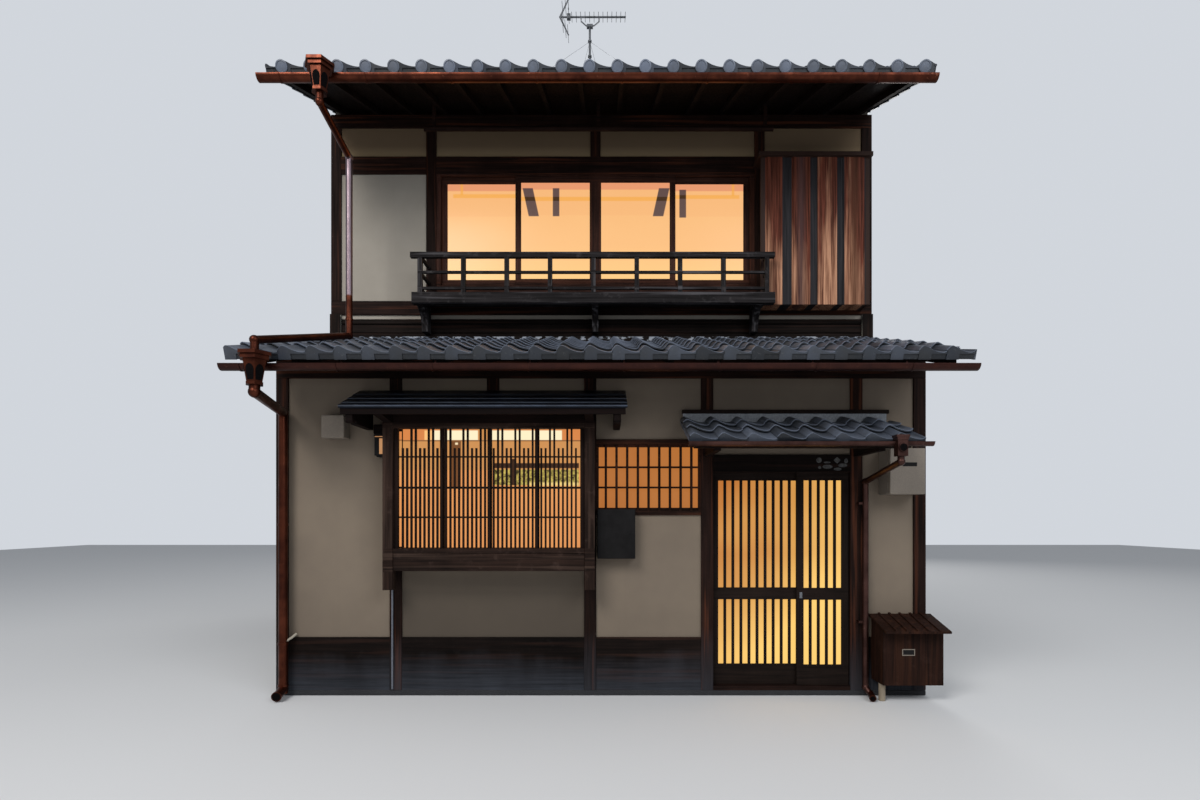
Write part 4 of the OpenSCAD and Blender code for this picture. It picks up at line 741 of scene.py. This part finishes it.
DISC_RINGS = ((DISC_R, 0.006), (DISC_R, -0.013), (0.045, -0.016), (0.041, -0.011), (0.030, -0.012))


def wave_at(u):
    """Height of the roof's wave at u tiles from a crest, with its corners rounded."""
    return sum(np.interp((u + shift) % 1.0, WAVE_AT, WAVE_H) for shift in (-0.03, 0, 0.03)) / 3 * ROLL_H


print("wave", [round(float(h), 3) for h in wave_at(np.linspace(0, 1, 9))])

# %% Places on a roof
class Slope:
    """Places on a roof: across, up the slope, and out from the roof boards."""

    def __init__(self, x0, eave_y, eave_z, slope, back=False):
        self.x0, self.y, self.z, self.back = x0, eave_y, eave_z, back
        tip = math.atan(slope)
        self.cos, self.sin = math.cos(tip), math.sin(tip)

    def at(self, across, up, out):
        way = -1 if self.back else 1
        return (self.x0 + across, self.y + way * (up * self.cos - out * self.sin),
                self.z + up * self.sin + out * self.cos)


def slab(shape, slope, xs, front_up, back_up, front_tops, back_tops, front_lows, back_lows, tone):
    """A closed piece with a wavy top and a low side, from one place up the slope to another.

    The tone is one number, or three: for its front, its back and the foot of its front."""
    n = len(xs)
    edges = ((front_up, front_tops), (back_up, back_tops), (front_up, front_lows), (back_up, back_lows))
    points = [slope.at(x, up, h) for up, heights in edges for x, h in zip(xs, heights)]
    faces = []
    for i in range(n - 1):
        faces += [(i, i + 1, n + i + 1, n + i), (2 * n + i, 3 * n + i, 3 * n + i + 1, 2 * n + i + 1),
                  (i, 2 * n + i, 2 * n + i + 1, i + 1), (n + i, n + i + 1, 3 * n + i + 1, 3 * n + i)]
    faces += [(0, n, 3 * n, 2 * n), (n - 1, 3 * n - 1, 4 * n - 1, 2 * n - 1)]
    front_tone, back_tone, foot_tone = tone if isinstance(tone, tuple) else (tone, tone, tone)
    shape.add(points, faces)
    shape.tones[-4 * n:] = [front_tone] * n + [back_tone] * n + [foot_tone] * n + [back_tone] * n


print("a metre up a slope of 0.4", [round(v, 3) for v in Slope(0, 0, 0, 0.4).at(0, 1, 0)])

# %% Rows of tiles
def some_tone(middle, spread):
    return min(1.0, max(0.0, chance.gauss(middle, spread)))


def tile_rows(shape, slope, width, length, count, depth, hang, row_len, phase, sink=0.012,
              discs=False, lip=False):
    """Rows of tiles from the eave up. Each tile's roll laps over its left neighbour.

    Along the front edge of each tile a thin pale strip can be laid: painted highlight."""
    step = width / count
    bed = depth - ROLL_H - sink
    rows = max(2, round(length / row_len))
    row = length / rows
    for r in range(rows):
        for i in range(-1, count):
            a = max(0.0, (i + phase - LAP) * step)
            b = min(width, (i + phase + TILE_W - LAP) * step)
            if b - a < NARROWEST:
                continue
            rise = chance.uniform(-RISE, RISE)
            tone = some_tone(*TILE_TONE)
            across = np.linspace(a, b, STEPS + 1)
            u = across / step - i - phase
            tops = bed + wave_at(u) + LAP_LIFT * np.clip(1 - (u + LAP) / 0.5, 0, 1) + rise
            front = tops + (TILE_LIFT if r else FIRST_LIFT)
            up0 = r * row + (chance.uniform(-SHIFT, SHIFT) if r else 0.0)
            up1 = min(length, (r + 1) * row + (ROW_LAP if r < rows - 1 else 0.0))
            # Each tile's front edge gets a raised tone, and its back and the foot of its front a low one:
            # painted highlight along the front edge, painted shade behind and under it.
            slab(shape, slope, across, up0, up1, front, tops, front - TILE_T, tops - TILE_T,
                 (min(1.15, tone + 0.42), max(0.0, tone * 0.5 - 0.12), 0.0))
            # A thin pale strip along the front edge: painted highlight.
            if lip:
                slab(shape, slope, across, up0 - LIP_OUT, up0 + LIP_IN, front + LIP_UP, front + LIP_UP,
                     front - LIP_T, front - LIP_T, LIP_HIGHLIGHT_TONE)
            if r == 0:
                eave_front(shape, slope, across, u, front, hang, tone)
                if discs and a < (i + phase) * step:
                    end_disc(shape, slope, (i + phase) * step, depth - DISC_R, tone)
    return rows


print("each tile has", STEPS, "steps across")

# %% Eave fronts and round ends
def eave_front(shape, slope, across, u, front, hang, tone):
    """The front below an eave tile: a proud plate under the roll, a sunk panel beside it."""
    low = np.full(len(across), -hang)
    # The backing shows below the plates as the sunk panel; its much darker tone is painted shade in the
    # recess.
    slab(shape, slope, across, 0.0, 0.020, front, front - 0.001, low, low, max(0.0, tone * 0.15))
    plate_tone = min(1.0, tone * 0.55 + 0.02)
    panel_top = front.min() - RIM_H
    for part, floor in ((u < ROLL_PART, -hang - 0.003), (u > ROLL_PART - 0.07, panel_top)):
        if part.sum() > 2:
            top, lows = front[part] - 0.002, np.full(part.sum(), floor)
            slab(shape, slope, across[part] + 0.0015, -PLATE_T, 0.0, top, top, lows, lows, plate_tone)


def end_disc(shape, slope, across, out, tone):
    """The round end of a roll at the eave: a dished disc with a plain rim."""
    points = []
    for radius, up in DISC_RINGS:
        for k in range(DISC_SIDES):
            a = 2 * math.pi * k / DISC_SIDES
            points.append(slope.at(across + radius * math.cos(a), up, out + radius * math.sin(a)))
    n = len(points)
    ends = [tuple(range(DISC_SIDES)), tuple(reversed(range(n - DISC_SIDES, n)))]
    shape.add(points, ring_faces(len(DISC_RINGS), DISC_SIDES) + ends, tone * 0.4 + 0.95)


print("disc", round(2 * DISC_R, 3), "m wide")

# %% Verge tiles and the frame of a roof
SKIRT = 0.016
DISC_OUT = 0.014
MAIN_SLOPE, LOWER_SLOPE, HOOD_SLOPE = 0.4, 0.322, 0.38
MAIN_TILES, LOWER_TILES, HOOD_TILES = 24, 27, 8
TILE_DEPTH, HOOD_DEPTH = 0.075, 0.060
APRON, HOOD_APRON = 0.040, 0.015
ROW_L, HOOD_ROW_L = 0.245, 0.20
MAIN_PHASE, LOWER_PHASE, HOOD_PHASE = 0.59, 0.07, 0.11


def verge_tiles(shape, slope, width, length, depth, hang, rows):
    """At both ends of a roof the tiles turn down over the edge of the boards."""
    row = length / rows
    tops = np.full(2, depth - ROLL_H + 0.012)
    for x in (0.0, width - SKIRT):
        for r in range(rows):
            tone = some_tone(*VERGE_TONE)
            up0, up1 = r * row, min(length, (r + 1) * row + 0.03)
            slab(shape, slope, np.array([x, x + SKIRT]), up0, up1, tops + 0.006, tops - 0.006,
                 np.full(2, -hang - 0.004), np.full(2, -hang + 0.008), tone)


def roof_frame(node, slope, depth, hang, back=False, discs=False):
    """Where the roof boards begin at the eave, found from the corners of the tile solid."""
    lo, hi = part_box(node)
    tip = math.atan(slope)
    inset, drop = depth * math.sin(tip), hang * math.cos(tip)
    if discs:
        inset += DISC_OUT * math.cos(tip)
        drop = max(drop, (2 * DISC_R - depth) * math.cos(tip) + DISC_OUT * math.sin(tip))
    y = hi.y - inset if back else lo.y + inset
    return Slope(lo.x, y, lo.z + drop, slope, back), hi.x - lo.x


def lay_tiles(name, node, slopes, width, count, depth, apron, row_len, longer=0.0, **how):
    """Makes all tiles of a roof; each slope comes with its length and its phase."""
    shape = Shape()
    for slope, length, phase in slopes:
        rows = tile_rows(shape, slope, width, length, count, depth, apron + longer, row_len, phase, **how)
        verge_tiles(shape, slope, width, length, depth, apron, rows)
    tiles = shape.make(name, tile_skin, "roof_tile", smooth=35, replaced=(node,))
    print(name, len(tiles.data.polygons), "faces,", rows, "rows")


print("slopes", MAIN_SLOPE, LOWER_SLOPE, HOOD_SLOPE)

# %% Main roof
ridge_lo, ridge_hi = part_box("main_ridge")
ridge_y = (ridge_lo.y + ridge_hi.y) / 2
front, roof_w = roof_frame("main_roof_tiles", MAIN_SLOPE, TILE_DEPTH, APRON, False, True)
back, _ = roof_frame("main_roof_tiles", MAIN_SLOPE, TILE_DEPTH, APRON, True, True)
back.z = front.z + MAIN_SLOPE * ((ridge_y - front.y) - (back.y - ridge_y))
slopes = []
for slope, phase in ((front, MAIN_PHASE), (back, 1 - MAIN_PHASE)):
    length = abs(ridge_y - slope.y) / math.cos(math.atan(MAIN_SLOPE)) - TILE_DEPTH * MAIN_SLOPE - 0.005
    slopes.append((slope, length, phase))
lay_tiles("main_tiles", "main_roof_tiles", slopes, roof_w, MAIN_TILES, TILE_DEPTH, APRON, ROW_L, discs=True)

# %% Lower roof and entrance roof
lower, lower_w = roof_frame("lower_roof_tiles", LOWER_SLOPE, TILE_DEPTH, APRON)
upper_face_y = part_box("upper_posts")[0].y
length = (upper_face_y - lower.y) / math.cos(math.atan(LOWER_SLOPE)) - TILE_DEPTH * LOWER_SLOPE
lay_tiles("lower_tiles", "lower_roof_tiles", [(lower, length, LOWER_PHASE)], lower_w, LOWER_TILES,
          TILE_DEPTH, APRON, ROW_L, lip=True)

hood, hood_w = roof_frame("entrance_roof_tiles", HOOD_SLOPE, HOOD_DEPTH, HOOD_APRON)
length = -hood.y / math.cos(math.atan(HOOD_SLOPE)) - 0.030
lay_tiles("hood_tiles", "entrance_roof_tiles", [(hood, length, HOOD_PHASE)], hood_w, HOOD_TILES,
          HOOD_DEPTH, HOOD_APRON, HOOD_ROW_L, longer=0.012, sink=0.002, lip=True)

# %% [markdown]
# ## The ridge
#
# The ridge is a small wall of flat tiles laid in mortar, four courses high, each a little narrower than
# the one under it, with half-round caps on top and a plain shield tile at each end. The flat tiles are
# about a foot long, so the courses show joints, and they don't line up from course to course.

# %% Ridge tiles
RIDGE_H, BED_H, CAP_SHOWS = 0.250, 0.010, 0.060
COURSES, RIDGE_TILE_L, RIDGE_TILE_W, JOINT, MORTAR_IN = 4, 0.30, 0.05, 0.004, 0.016
CAP_L, CAP_R, CAP_STEP, CAP_LIP = 0.27, 0.065, 0.003, 0.03
SHIELD_H, SHIELD_T, SHIELD_OUT = 0.270, 0.03, 0.012

shape = Shape()
low = ridge_hi.z - SHIELD_H
half = (ridge_hi.y - ridge_lo.y) / 2 - 0.015
x0, x1 = ridge_lo.x + SHIELD_T, ridge_hi.x - SHIELD_T
course = (RIDGE_H - CAP_SHOWS - BED_H) / COURSES
shape.box((x0, ridge_y - half + 0.012, low - half * MAIN_SLOPE),
          (x1, ridge_y + half - 0.012, low + 0.012), 0.3)
for i in range(COURSES):
    z = low + BED_H + i * course
    reach = half * 0.98 - i * 0.008
    mortar = reach - MORTAR_IN
    shape.box((x0, ridge_y - mortar, z), (x1, ridge_y + mortar, z + course), 0.25)
    x = x0 + (0.5 * RIDGE_TILE_L if i % 2 else 0.0)
    while x < x1:
        for side in (-1, 1):
            a, b = sorted((ridge_y + side * reach, ridge_y + side * (reach - RIDGE_TILE_W)))
            shape.box((x, a, z + JOINT), (min(x + RIDGE_TILE_L - JOINT, x1), b, z + 0.026))
        x += RIDGE_TILE_L
cap_z = low + RIDGE_H - CAP_R
caps = int((x1 - x0) / CAP_L)
for i in range(caps):
    a = x0 + i * (x1 - x0) / caps
    b = a + (x1 - x0) / caps
    tone = chance.random()
    shape.tube([(a, ridge_y, cap_z), (b - CAP_LIP, ridge_y, cap_z)], CAP_R - CAP_STEP, 20, tone)
    shape.tube([(b - 0.034, ridge_y, cap_z), (b - 0.001, ridge_y, cap_z)], CAP_R + CAP_STEP, 20, tone)
left = [(-half - SHIELD_OUT, -0.02), (-half - SHIELD_OUT, 0.07), (-CAP_R - 0.01, 0.22),
        (-CAP_R * 0.6, 0.262)]
outline = left + [(0.0, SHIELD_H)] + [(-y, z) for y, z in reversed(left)]
for x in (ridge_lo.x, ridge_hi.x - SHIELD_T):
    shape.prism(*([(x + t, ridge_y + y, low + z) for y, z in outline] for t in (0.0, SHIELD_T)), 0.6)
shape.make("ridge_tiles", tile_skin, "roof_tile", bevel=0.0025, smooth=35, replaced=("main_ridge",))
print("ridge", caps, "caps")

# %% [markdown]
# ## Panes
#
# One node holds every pane of the house. Its solids are sorted by where they stand, so that the bay,
# the high window, the upper window and the back each get their own light.

# %% Panes
GLOWS = {"bay": bay_glow, "high": high_glow, "upper": upper_glow, "back": back_glow}
panes = {kind: Shape() for kind in GLOWS}
for lo, hi in solids_of("window_glass"):
    if lo.y > 6:
        kind = "back"
    elif lo.z > 4:
        kind = "upper"
    else:
        kind = "bay" if lo.x < -0.2 else "high"
    panes[kind].box(lo, hi, 0.5)
for kind, shape in panes.items():
    pane = shape.make(kind + "_panes", GLOWS[kind], "lit_glass")
    if kind == "bay":
        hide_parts("window_glass")
    print(pane.name, len(pane.data.vertices) // 8)

# %% [markdown]
# ## Finishes on the solids that stay
#
# The rest of the solids already have the right shape. Their mesh isn't touched: a weld and a bevel
# modifier soften the edges, and the finish goes in the first material slot.

# %% More timber finishes
SILL_Z, BAY_OPEN_Z = 1.417, 2.529
BAY_ROOF_Z, BAY_ROOF_SLOPE = 2.918, 0.46
SHEET_T = 0.030


def below_sheet(spot):
    """1 on the timber of the bay roof, 0 on its metal: a plane that follows the slope."""
    _, y, z = axes(spot)
    return fade(z - y * BAY_ROOF_SLOPE - (BAY_ROOF_Z - SHEET_T), 0.001, -0.001)


def packed_mortar(spot, colour):
    """The pale mortar between the entrance roof tiles and the strip over them."""
    _, y, z = axes(spot)
    grit = ramp(noise(spot, 60, 4, 0.7), 0.35, 0.65)
    pale = mix(grit, (0.25, 0.27, 0.30), (0.40, 0.42, 0.45))
    return mix(fade(y, -0.028, -0.0265) * window_of(z, 2.600, 2.6925, 0.001), colour, pale)


def cream_leg(spot, colour):
    """The cabinet stands on a leg of pale pipe."""
    return mix(window_of(axes(spot)[2], -1.0, 0.163, 0.001), colour, (0.30, 0.25, 0.185))


bay_stain = timber("bay_stain", (0.0085, 0.0052, 0.0042), (0.030, 0.0160, 0.0115), "z",
                   ((1.20, SILL_Z), (BAY_OPEN_Z, 2.60)), worn=0.45,
                   streak=((0.072, 0.046, 0.035), 0.5))
door_stain = timber("door_stain", (0.0068, 0.0045, 0.0038), (0.0170, 0.0105, 0.0082), "z",
                    ((0.0, 0.289), (0.912, 1.027), (2.058, 2.4)), worn=0.05)
window_stain = timber("window_stain", (0.008, 0.0038, 0.0028), (0.030, 0.012, 0.0075), "z",
                      ((1.725, 1.797), (2.38, 2.46), (4.18, 4.452), (5.563, 5.65), (0.90, 0.97),
                       (2.23, 2.30)), streak=(RED_STREAK, 0.35))
sash_stain = timber("sash_stain", (0.018, 0.0085, 0.0066), (0.064, 0.026, 0.018), "z",
                    ((4.18, 4.452), (5.563, 5.70)), streak=(RED_STREAK, 0.35))
rail_stain = timber("rail_stain", (0.0055, 0.0048, 0.0050), (0.021, 0.0185, 0.0195), "z",
                    ((4.03, 4.16), (4.19, 4.23), (4.365, 4.40), (4.53, 4.61)), worn=0.8,
                    streak=((0.100, 0.096, 0.104), 0.7))
beam_stain = timber("beam_stain", *STAIN, "x")
hood_stain = timber("hood_stain", (0.0065, 0.0045, 0.0042), (0.019, 0.011, 0.009), "y",
                    masks=packed_mortar)
# bay_shade is the board stain at about half its brightness: painted shade for the timber under the bay
# roof. The lantern cap uses it too.
bay_shade = timber("bay_shade", (0.0030, 0.0017, 0.0015), (0.0100, 0.0045, 0.0036), worn=0.05)
cabinet_wood = timber("cabinet_wood", (0.0075, 0.0036, 0.0026), (0.028, 0.0110, 0.0068), "z",
                      worn=0.2, streak=((0.055, 0.021, 0.011), 0.4), masks=cream_leg)
print("timber finishes ready")

# %% Bay roof and shutter finishes
def bay_roof_finish():
    """Painted sheet above, stained timber below, in one material."""
    mat, shader, spot = blank("bay_roof_finish", 0.4, specular=0.10)
    patches = noise(stretch(spot, (0.7, 9, 9)), 2.0, 4, 0.6)
    sheet = mix(ramp(patches, 0.35, 0.62), (0.0030, 0.0036, 0.0060), (0.0105, 0.0135, 0.0220))
    grain = noise(stretch(spot, GRAIN["x"]), 1.0, 6, 0.62)
    wood = mix(ramp(grain, 0.32, 0.68), (0.0032, 0.0017, 0.0015), (0.0085, 0.0036, 0.0029))
    is_timber = below_sheet(spot)
    surface(shader, mix(is_timber, sheet, wood), patches, 0.001, 0.3,
            ramp(is_timber, 0.0, 1.0, 0.36, 0.75))
    return mat


# Each row is a board: its sides as parts of the width, how much more is bare, and the colour of its heart.
SHUTTER_BOARDS = ((0.060, 0.210, 0.05, None), (0.295, 0.455, -0.10, (0.060, 0.034, 0.034)),
                  (0.520, 0.695, 0.22, None), (0.755, 0.935, 0.10, (0.075, 0.028, 0.014)))


def shutter_finish():
    """Four boards with dark battens between; the stain has worn off towards the foot."""
    lo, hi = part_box("shutter_case")
    mat, shader, spot = blank("shutter_boards", 0.62, specular=0.1)
    x, _, z = axes(spot)
    part = (x - lo.x).math("DIVIDE", hi.x - lo.x)
    fine = noise(stretch(spot, (58, 46, 1.5)), 1.0, 6, 0.62)
    broad = noise(stretch(spot, (14, 10, 0.9)), 1.0, 4, 0.55)
    stain = mix(ramp(fine, 0.34, 0.66), (0.030, 0.0085, 0.0052), (0.155, 0.042, 0.0230))
    bare = mix(ramp(fine, 0.34, 0.62), (0.115, 0.038, 0.020), (0.54, 0.285, 0.170))
    worn = fade(z, 5.20, 4.40) * 1.05 + -0.32 + (broad - 0.5) * 2.9
    colour, insides = stain, []
    for left, right, more, heart in SHUTTER_BOARDS:
        inside = window_of(part, left, right, 0.003)
        board = mix(worn.math("ADD", more, True), stain, bare)
        if heart:
            off = (part - (left + right) / 2).math("ABSOLUTE")
            board = mix(fade(off, 0.055, 0.0, 0.8), board, heart)
        colour = mix(inside, colour, board)
        insides.append(inside)
    batten = mix(ramp(fine, 0.3, 0.7), (0.010, 0.0095, 0.011), (0.032, 0.030, 0.033))
    edge = any_of(window_of(part, -0.2, 0.055, 0.003), window_of(part, 0.945, 1.2, 0.003))
    colour = mix(any_of(*insides), mix(edge, batten, (0.035, 0.020, 0.016)), colour)
    colour = mix(fade(z, hi.z - 0.050, hi.z - 0.046), colour, (0.030, 0.016, 0.012))
    surface(shader, colour, fine, 0.003, 0.8, ramp(fine, 0.2, 0.8, 0.75, 0.55))
    return mat


print("shutter boards", len(SHUTTER_BOARDS))

# %% Dress the solids
DRESS = {
    "foundation": (stone, 0.006), "ground_floor": (stone, 0), "upper_floor": (beam_stain, 0),
    "left_party_wall": (party_clay, 0), "right_party_wall": (party_clay, 0),
    "lower_wall_panels": (shaded_lower_clay, 0), "upper_wall_panels": (upper_clay, 0),
    "back_wall_panels": (back_clay, 0), "back_windows": (window_stain, 0.003),
    "bay_frame": (bay_stain, 0.004), "bay_lattice": (upright_stain, 0),
    "bay_roof": (bay_roof_finish(), 0.002), "high_window": (window_stain, 0.002),
    "door_frame": (beam_stain, 0.003), "left_door_leaf": (door_stain, 0.0025),
    "right_door_leaf": (door_stain, 0.0025), "left_door_glass": (door_glow, 0),
    "right_door_glass": (door_glow, 0), "entrance_roof_frame": (hood_stain, 0),
    "entrance_gutter": (dull_copper, 0), "lower_roof_frame": (rafter_stain, 0),
    "main_roof_frame": (rafter_stain, 0), "eave_gutters": (gutter_copper, 0),
    "lower_downpipe": (copper, 0), "upper_downpipe": (pipe_copper, 0),
    "upper_window_frame": (sash_stain, 0.003), "upper_window_sashes": (sash_stain, 0.0025),
    "shutter_case": (shutter_finish(), 0.003), "balcony": (rail_stain, 0.005),
    "balcony_rail": (rail_stain, 0.004), "screen_rail": (beam_stain, 0),
    "mailbox": (dark_metal, 0.004), "service_boxes": (pale_box, 0.006),
    "meter_cabinet": (cabinet_wood, 0.003), "wall_lamp": (dark_metal, 0.002),
    "antenna": (mast_metal, 0),
}
WELD_GAP = 0.00002

for name, (material, bevel) in DRESS.items():
    obj = nodes[name]
    obj.data.materials.clear()
    obj.data.materials.append(material)
    if bevel:
        obj.modifiers.new("weld", "WELD").merge_threshold = WELD_GAP
        worn_edges(obj, bevel, 1)
print("dressed", len(DRESS), "solids")

# %% [markdown]
# ## Small parts
#
# What is left is small but it is what the eye finds next: folds on the bay roof, stays that hold the
# mast, a lit strip in the lantern, plates over the door, a slot, a label frame, a pull, thin pipes and
# the open shoes at the foot of the drainpipes. Each kind is one mesh, and most are a few plain boxes.

# %% Bay roof folds and roof-foot boards
def boxes(name, material, slot, corners, tone=None, **how):
    """A piece made of boxes, each given by its lowest and its highest corner."""
    shape = Shape()
    for lo, hi in corners:
        shape.box(lo, hi, tone)
    print(name, len(shape.points) // 8)
    return shape.make(name, material, slot, **how)


bay_lo, bay_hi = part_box("bay_roof")
FOLDS_OUT = (0.15, 0.29, 0.42)
folds = []
for out in FOLDS_OUT:
    z = BAY_ROOF_Z - BAY_ROOF_SLOPE * out
    folds.append(((bay_lo.x, -out - 0.005, z - 0.004), (bay_hi.x, -out + 0.005, z + 0.006)))
z = BAY_ROOF_Z + BAY_ROOF_SLOPE * bay_lo.y
folds.append(((bay_lo.x, bay_lo.y - 0.003, z - 0.010), (bay_hi.x, bay_lo.y + 0.004, z + 0.003)))
# The folds and the front edge are real; their paler blue is painted highlight.
boxes("bay_roof_folds", fold_highlight_paint, "metal_roof", folds, bevel=0.001)

panel_lo, panel_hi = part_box("upper_wall_panels")
BOARD_W = 0.118
boxes("roof_foot_boards", foot_stain, "dark_timber",
      [((x, 1.158, 3.745), (x + BOARD_W, 1.168, 4.029)) for x in (panel_lo.x, panel_hi.x - BOARD_W)],
      bevel=0.002)

LEFT_X, RIGHT_X, CLOSE_Y, FOOT_Z, LID_Z, SIDE_T = -2.013, -0.055, -0.190, 2.575, 2.80, 0.022
sides = [((x, CLOSE_Y, FOOT_Z), (x + SIDE_T, 0.0, LID_Z)) for x in (LEFT_X, RIGHT_X - SIDE_T)]
# The closure under the bay roof takes the half-bright timber: painted shade.
boxes("bay_closure", bay_shade, "dark_timber",
      [((LEFT_X, CLOSE_Y - 0.022, FOOT_Z), (RIGHT_X, CLOSE_Y, LID_Z)), *sides], bevel=0.001)
boxes("bay_side_pane", bay_glow, "lit_glass", [((-1.963, -0.004, 1.425), (-1.905, -0.001, 2.525))], 0.5)

# %% Stays of the mast
MAST_X, CLAMP_R, STAY_Z, STAY_R = -0.2, 0.02, 9.40, 0.002
PEG = Vector((0, 0, 0.02))
ANCHORS = ((-2.38, ridge_y, ridge_hi.z - 0.03), (1.98, ridge_y, ridge_hi.z - 0.03),
           (-0.45, 2.40, 6.99), (0.75, 5.80, 6.99))
shape = Shape()
for anchor in ANCHORS:
    far, near = Vector(anchor), Vector((MAST_X, ridge_y, STAY_Z))
    near += (far - near).normalized() * CLAMP_R
    shape.tube([near, far], STAY_R, 6)
    shape.tube([far - PEG, far + PEG], 0.008, 8)
shape.make("mast_stays", mast_metal, "antenna_metal")
print("stays", len(ANCHORS))

# %% Lantern, slot, label and pull
def fronts(rects, front_y, back_y):
    """Boxes between two depths, from the left, foot, right and top of what shows in front."""
    return [((left, front_y, foot), (right, back_y, top)) for left, foot, right, top in rects]


lamp_lo, lamp_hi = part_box("wall_lamp")
strips = ((lamp_lo.x + 0.052, 2.300, lamp_hi.x - 0.010, 2.446),
          (lamp_lo.x + 0.010, 2.460, lamp_hi.x - 0.010, 2.467))
boxes("lantern_light", lamp_glow, "lit_glass", fronts(strips, -0.1115, -0.1095))
boxes("lantern_cap", bay_shade, "black_metal",
      fronts([(lamp_lo.x - 0.004, 2.484, lamp_hi.x, 2.578)], -0.118, -0.020), bevel=0.012)
# The first inset fills the slot of a service box with near-black: painted shade for its inside. The second
# fills the label frame.
boxes("dark_insets", dark_metal, "black_metal",
      fronts([(2.785, 2.176, 2.916, 2.212)], -0.2150, -0.2138)
      + fronts([(2.768, 0.446, 2.869, 0.491)], -0.2535, -0.2500))
LABEL_SIDES = ((2.760, 0.438, 2.877, 0.446), (2.760, 0.491, 2.877, 0.499),
               (2.760, 0.446, 2.768, 0.491), (2.869, 0.446, 2.877, 0.491))
boxes("label_frame", pale_box, "pale_plastic", fronts(LABEL_SIDES, -0.2560, -0.2495), bevel=0.001)

leaf_lo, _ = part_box("right_door_leaf")
PULL_IN, PULL_HALF = 0.041, 0.013
pull_x = leaf_lo.x + PULL_IN
boxes("door_pull", mast_metal, "black_metal",
      fronts([(pull_x - PULL_HALF, 0.928, pull_x + PULL_HALF, 0.985)], leaf_lo.y - 0.0015,
             leaf_lo.y + 0.001), body="right_door", bevel=0.0006)

# %% Transom board and its plates
PLATES = ((2.086, 2.251, 0.026, 0.026, 20), (2.259, 2.251, 0.034, 0.032, 4),
          (2.345, 2.244, 0.018, 0.024, 12), (2.092, 2.182, 0.015, 0.014, 12),
          (2.168, 2.188, 0.048, 0.019, 20), (2.163, 2.230, 0.032, 0.009, 16),
          (2.264, 2.166, 0.038, 0.014, 16), (2.312, 2.202, 0.044, 0.018, 20))

door_lo, door_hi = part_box("door_frame")
boxes("transom_face", foot_stain, "dark_timber",
      fronts([(door_lo.x, 2.147, door_hi.x, 2.303)], -0.0015, 0.0200)
      + fronts([(door_lo.x, 2.137, door_hi.x, 2.147)], -0.0080, 0.0000), bevel=0.0006)

shape = Shape()
for x, z, half_w, half_h, sides in PLATES:
    turns = [2 * math.pi * k / sides for k in range(sides)]
    rim = [(x + half_w * math.cos(a), z + half_h * math.sin(a)) for a in turns]
    shape.prism([(a, -0.0035, b) for a, b in rim], [(a, -0.0010, b) for a, b in rim])
worn_plate = speckled("worn_plate", (0.030, 0.029, 0.029), (0.110, 0.110, 0.108), 38, 0.6)
shape.make("transom_plates", worn_plate, "pale_plastic", smooth=30)
print("plates", len(PLATES))

# %% Thin pipes and the shoes of the drainpipes
MOUTH_SIDES = 20
CONDUIT = [(-1.992, -0.012, 0.065), (-1.992, -0.012, 1.034)]
STUB = [(-3.02, -0.080, 0.530), (-2.975, -0.072, 0.535), (-2.94, -0.040, 0.560), (-2.915, 0.004, 0.590)]
SHOES = (([(-3.005, -0.067, 0.12), (-3.005, -0.080, 0.085), (-2.997, -0.150, 0.062),
           (-2.985, -0.225, 0.054)], 0.042),
         ([(2.535, -0.108, 0.052), (2.530, -0.150, 0.040), (2.510, -0.210, 0.034)], 0.027))

for name, path, radius, material in (("bay_conduit", CONDUIT, 0.009, grey_plastic),
                                     ("drain_stub", STUB, 0.012, white_plastic)):
    shape = Shape()
    shape.tube(path, radius, 12)
    shape.make(name, material, "pale_plastic", smooth=40)

shape, hole = Shape(), Shape()
for path, radius in SHOES:
    shape.tube(path, radius, MOUTH_SIDES)
    end, ahead = Vector(path[-1]), (Vector(path[-1]) - Vector(path[-2])).normalized()
    shape.tube([end - ahead * 0.012, end + ahead * 0.004], radius + 0.004, MOUTH_SIDES)
    # A near-black disc just inside each open end: painted shade for the inside of the pipe.
    hole.tube([end + ahead * 0.0035, end + ahead * 0.0052], radius - 0.004, MOUTH_SIDES)
shape.make("pipe_shoes", copper, "copper", smooth=50)
print("shoes", len(SHOES))

# %% Dark panels of the rain heads
HEADS = (("lower_downpipe", -2.790, -0.926), ("upper_downpipe", -2.553, -0.301))
HEAD_H, BODY_H, BODY_R, BODY_GROWS = 0.242, 0.18, 0.063, 0.034
HEX_FLAT = 0.866
ARCH = [(-0.024, 0.014), (0.024, 0.014)]
ARCH += [(0.033 * math.cos(a), 0.088 + 0.050 * math.sin(a)) for a in np.linspace(0, math.pi, 11)]


def head_panel(hole, x, y, z, turn):
    """A dark arched panel on one face of a rain head; z is the foot of the head's body."""
    layers = []
    for out in (0.0020, -0.0010):
        layer = []
        for along, up in ARCH:
            reach = HEX_FLAT * (BODY_R + up / BODY_H * BODY_GROWS) + out
            layer.append((x + reach * math.cos(turn) - along * math.sin(turn),
                          y + reach * math.sin(turn) + along * math.cos(turn), z + up))
        layers.append(layer)
    hole.prism(*layers)


for node, x, y in HEADS:
    for turn in (-150, -90, -30):
        head_panel(hole, x, y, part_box(node)[1].z - HEAD_H, math.radians(turn))
# A near-black disc in an open pipe end facing the front: painted shade.
hole.tube([(2.510, -0.7985, 2.288), (2.510, -0.8015, 2.288)], 0.031, MOUTH_SIDES)
# The near-black of the pipe ends is painted shade; the arched panels of the rain heads get the same
# near-black.
near_black = speckled("near_black", (0.0020, 0.0018, 0.0020), (0.0065, 0.0055, 0.0060), 120, 0.8, gloss=0.02)
hole.make("dark_mouths", near_black, "black_metal")
print("heads", len(HEADS))
